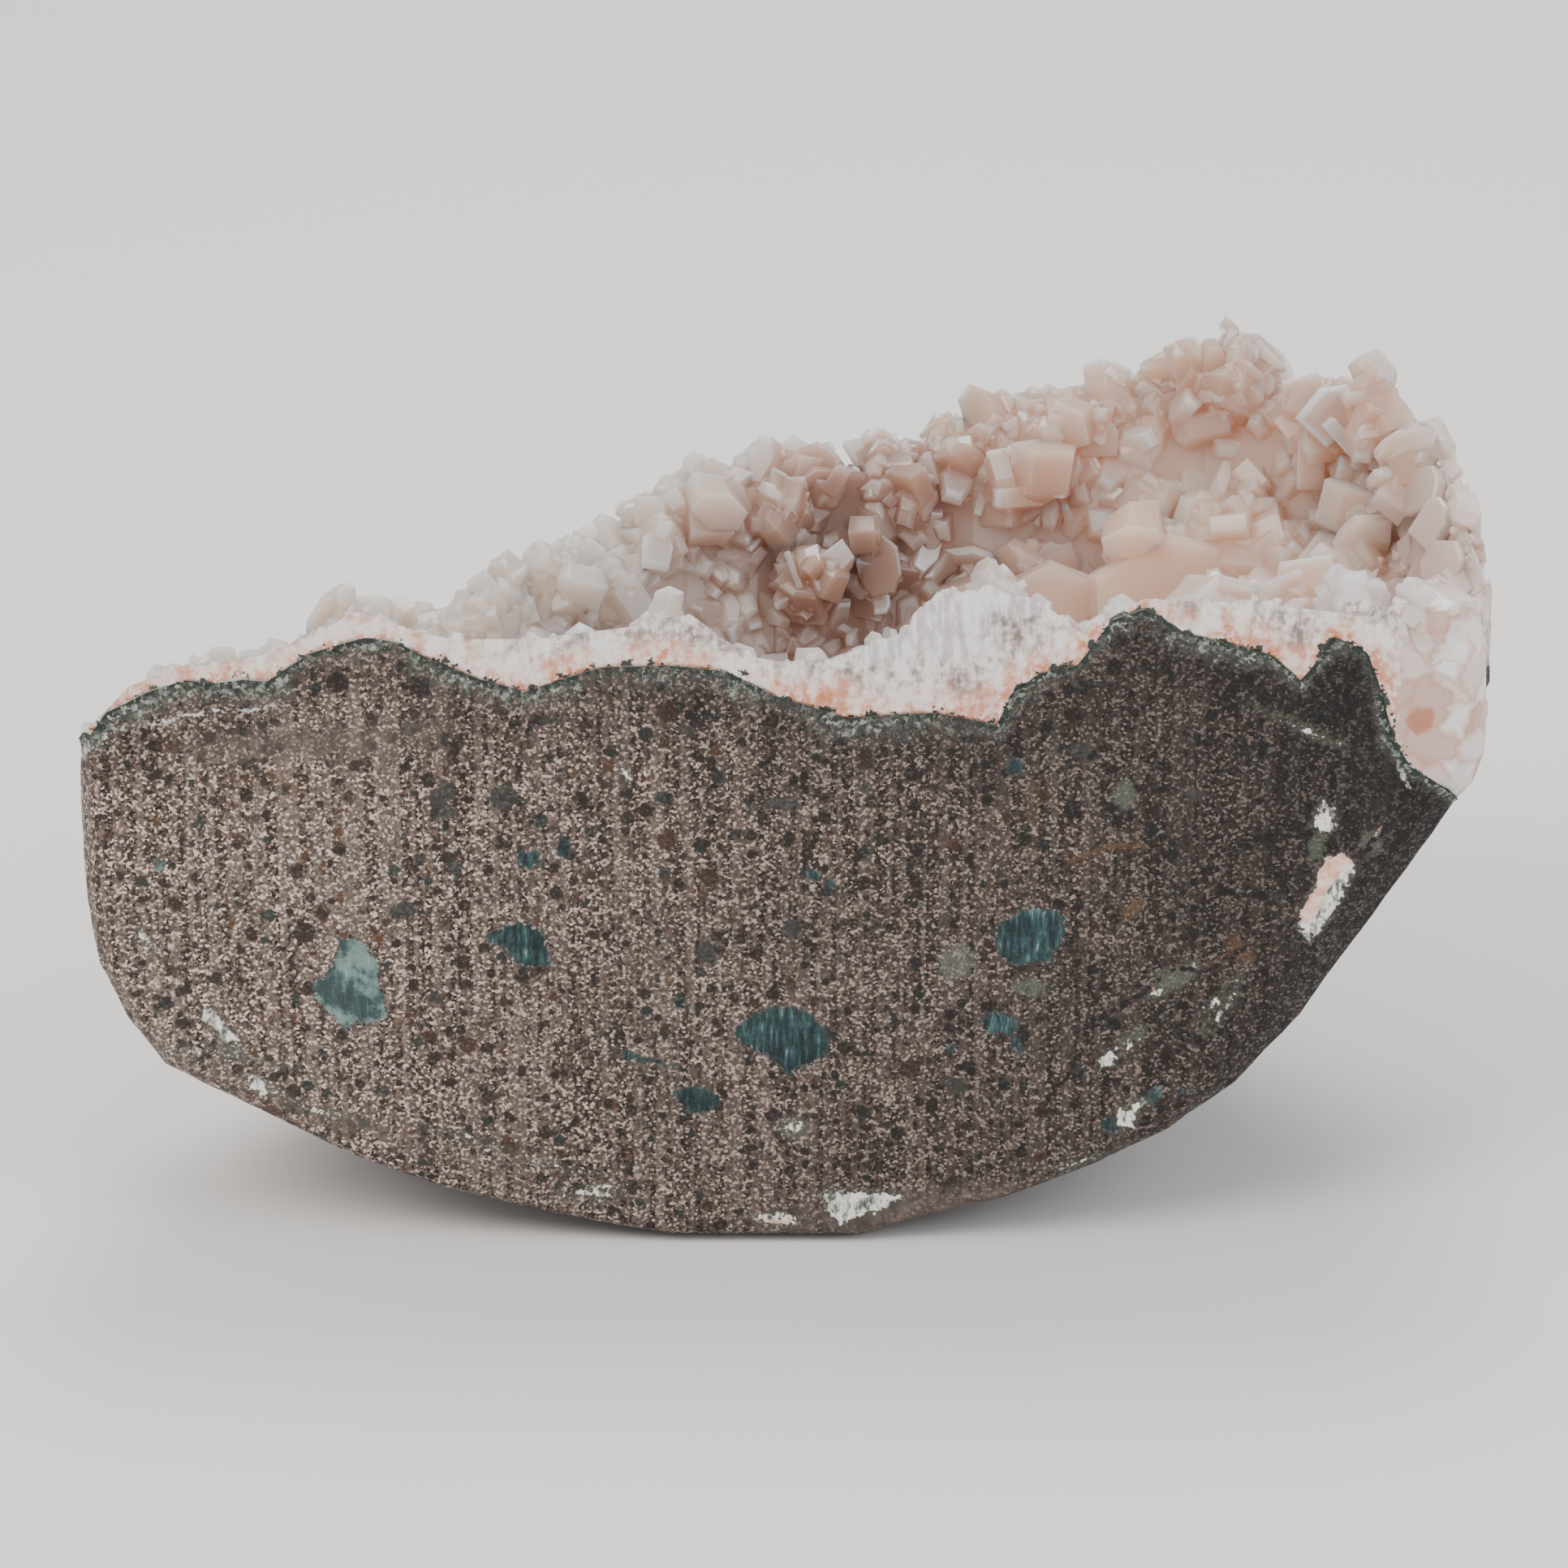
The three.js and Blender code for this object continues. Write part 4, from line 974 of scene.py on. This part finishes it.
def grownCrust(material):
    holder = newObject("crystal ground", makeGround())
    (low, high), (short, tall) = crust["width"], crust["height"]
    settings = [("Density", "Float", crust["density"] / mm ** 2),
                ("Widest", "Float", high * mm), ("Narrowest", "Float", low * mm),
                ("Tallest", "Float", tall * mm), ("Lowest", "Float", short * mm),
                ("Seed", "Int", crust["seed"]), ("Finish", "Material", material)]
    tree, sockets = scatterTree(settings, makeForms(), makeSolids(), *makeCutters())
    modifier = holder.modifiers.new("crystals", "NODES")
    modifier.node_group = tree
    for socket, (_, _, value) in zip(sockets, settings):
        modifier[socket] = value
    graph = bpy.context.evaluated_depsgraph_get()
    mesh = bpy.data.meshes.new_from_object(holder.evaluated_get(graph))
    bpy.data.objects.remove(holder)
    return mesh


def markFacets(work):
    # A random number for each flat facet, kept on its faces; the crust's material makes facets
    # paler or darker by it as painted light and shade, and some glossier
    rng = np.random.default_rng(crust["seed"])
    layer = work.faces.layers.float.new("tone")
    seen = set()
    for f in work.faces:
        if f in seen:
            continue
        shade, waiting = float(rng.random()), [f]
        seen.add(f)
        while waiting:
            g = waiting.pop()
            g[layer] = shade
            for e in g.edges:
                for other in e.link_faces:
                    if other not in seen and other.normal.dot(g.normal) > 0.99995:
                        seen.add(other)
                        waiting.append(other)


def makeCrust(material):
    mesh = grownCrust(material)
    work = bmesh.new()
    work.from_mesh(mesh)
    markFacets(work)
    bmesh.ops.triangulate(work, faces=work.faces)

    def lengthAt(edge):
        middle = (edge.verts[0].co + edge.verts[1].co) / 2
        onBand = isBehindSawn(middle, 0.1) and all(f.normal.y < -0.99 for f in edge.link_faces)
        return crust["bandStep" if onBand else "bodyStep"]
    splitLong(work, lengthAt)
    takeOutFolds(work)
    work.to_mesh(mesh)
    work.free()
    points = pointsOf(mesh)
    writeAttribute(mesh, "fromRock", distancesTo(rockTree, points))
    # The right end is ground flush, on the outside and on the sawn face
    normals = np.array([crustTree.find_nearest(Vector(p))[1][:] for p in points.tolist()])
    onFace = points[:, 1] < sawnPlane + 0.2 * mm
    outside = (normals[:, 0] > 0.55) & (points[:, 1] < sawnPlane + 50 * mm)
    writeAttribute(mesh, "ground", (points[:, 0] > 79 * mm) & (onFace | outside))
    mesh.shade_flat()
    return mesh


def makeHeulanditeMaterial():
    material, w, shader = newMaterial("heulandite")
    colors = crust["colors"]
    at = w.place()
    fromRock, tone, rise = [w.attribute(name) for name in ("fromRock", "tone", "rise")]
    x, y, z = w.add("ShaderNodeSeparateXYZ", {0: at}).outputs
    behind = w.minus(y, sawnPlane / mm)
    # Grey-beige to the left, rosy brown in the middle and darker in its depth, which is painted
    # shade of the deep hollow, peach to the right
    clouds = w.noise(16, 2, 0.5, at)
    depth = w.vector("DISTANCE", at, crust["darkest"], "Value")
    color = w.blend(w.step(x, 8, 60), colors["middle"], colors["right"])
    for name, share in (
            ("left", w.step(w.plus(x, w.times(clouds, 20)), -8, 14, 1, 0)),
            # painted shade: darker rosy brown in the depth of the hollow
            ("depth", w.step(w.plus(depth, w.times(clouds, 14)), 12, 34, 0.85, 0)),
            ("clouds", w.step(clouds, 0.42, 0.62, 0, 0.3)),
            ("top", w.step(z, 82, 100, 0, 0.6)),
            # painted light: the crystals' tips made paler, as if lit through
            ("tips", w.step(rise, 0.3, 1, 0, 0.25)),
            ("white", w.step(rise, 1.3, 1.7)),
            # painted light and shade: facets made paler or darker at random, as if lit from
            # different sides
            ("paleFacets", w.step(tone, 0.6, 1, 0, 0.4)),
            ("darkFacets", w.step(tone, 0.4, 0, 0, 0.35)),
            ("rightEnd", w.step(x, 82, 94, 0, 0.5)),
            ("front", w.step(behind, 1, 9, 0.7, 0))):
        color = w.blend(share, color, colors[name])
    # Flush cells with rosy seams on the ground right end, and a stain
    bent = w.add("ShaderNodeTexNoise", {"Vector": at, "Scale": 0.5, "Detail": 2.0})
    bent = w.add("ShaderNodeVectorMath", {0: bent.outputs["Color"], 1: (2.2, 2.2, 2.2), 2: at},
                 operation="MULTIPLY_ADD").outputs[0]
    fromSeam = w.cells(5.2, bent, "DISTANCE_TO_EDGE").outputs["Distance"]
    mosaic = w.ramp(w.numbers(w.cells(5.2, bent))[0], crust["cellColors"])
    seam = w.step(fromSeam, 0.02, 0.14, 1, 0)
    mosaic = w.blend(w.times(seam, 0.55), mosaic, colors["seam"])
    stain = w.vector("DISTANCE", at, (81.8, sawnPlane / mm, 75.6), "Value")
    stain = w.plus(stain, w.times(w.noise(2, 3, 0.6, at), 3))
    mosaic = w.blend(w.step(stain, 2.8, 3.6, 0.8, 0), mosaic, colors["stain"])
    # The sawn band: orange next to the rock, then pink with upright fibres, then white
    onBand = w.step(behind, 0.1, 0.4, 1, 0)
    grit = w.noise(1, 3, 0.7, at)
    lumps = w.noise(2.6, 3, 0.6, w.place((1, 1, 0.6)))
    fibres = w.noise(0.8, 3, 0.65, w.place((1, 1, 0.16)))
    ragged = fromRock
    for variation, width in ((lumps, 5.0), (w.noise(9, 2, 0.5, at), 9), (grit, 3)):
        ragged = w.plus(ragged, w.swing(variation, width))
    shade = w.plus(w.times(lumps, 0.5), w.plus(w.times(grit, 0.35), w.times(fibres, 0.15)))
    white, pink = [w.ramp(shade, crust[name]) for name in ("whiteBand", "pinkBand")]
    band = w.blend(w.step(ragged, 2.2, 5, 1, 0), white, pink)
    specks = w.step(w.noise(0.9, 3, 0.7, at), 0.44, 0.56)
    low = w.step(ragged, 0.4, 2.4, 0.85, 0)
    band = w.blend(w.times(specks, low), band, colors["orange"])
    streaks = w.plus(w.times(fibres, 0.6), w.times(lumps, 0.4))
    clear = w.blend(w.step(streaks, 0.42, 0.56), "#cfc9c7", "#ffffff")
    band = w.blend(w.step(ragged, 7, 10, 0, 0.85), band, clear)
    color = w.blend(onBand, color, band)
    color = w.blend(w.step(w.attribute("ground"), 0.3, 0.8), color, mosaic)
    # The green layer's teeth
    teeth = w.swing(w.noise(1.7, 3, 0.75, at), 7, 0.48)
    isGreen = w.step(w.minus(fromRock, teeth), 0.1, 0.3, 1, 0)
    color = w.blend(w.times(isGreen, onBand), color, colors["layer"])
    # Less light goes round inside the sawn band and the thin right end
    thin = w.calc("MAXIMUM", w.times(onBand, 0.85), w.step(x, 80, 92, 0, 0.7))
    height = w.times(w.noise(0.7, 2, 0.5, at), w.step(behind, 0, 6, 0.8, 0.15))
    rounded = w.add("ShaderNodeBevel", {
        "Radius": crust["rounding"] * mm, "Normal": w.bump(height, 0.12)}, samples=4)
    w.feed(shader, {
        "Base Color": color, "Roughness": w.step(tone, 0.9, 0.97, 0.3, 0.1), "IOR": 1.5,
        "Subsurface Weight": w.minus(1.0, thin), "Subsurface Radius": (1.0, 0.8, 0.7),
        "Subsurface Scale": crust["milky"] * mm,
        "Transmission Weight": crust["clear"], "Normal": rounded.outputs[0]})
    return material


heulandite = makeHeulanditeMaterial()
newPiece("heulandite_crystals", makeCrust(heulandite), heulandite, "heulandite_crust")
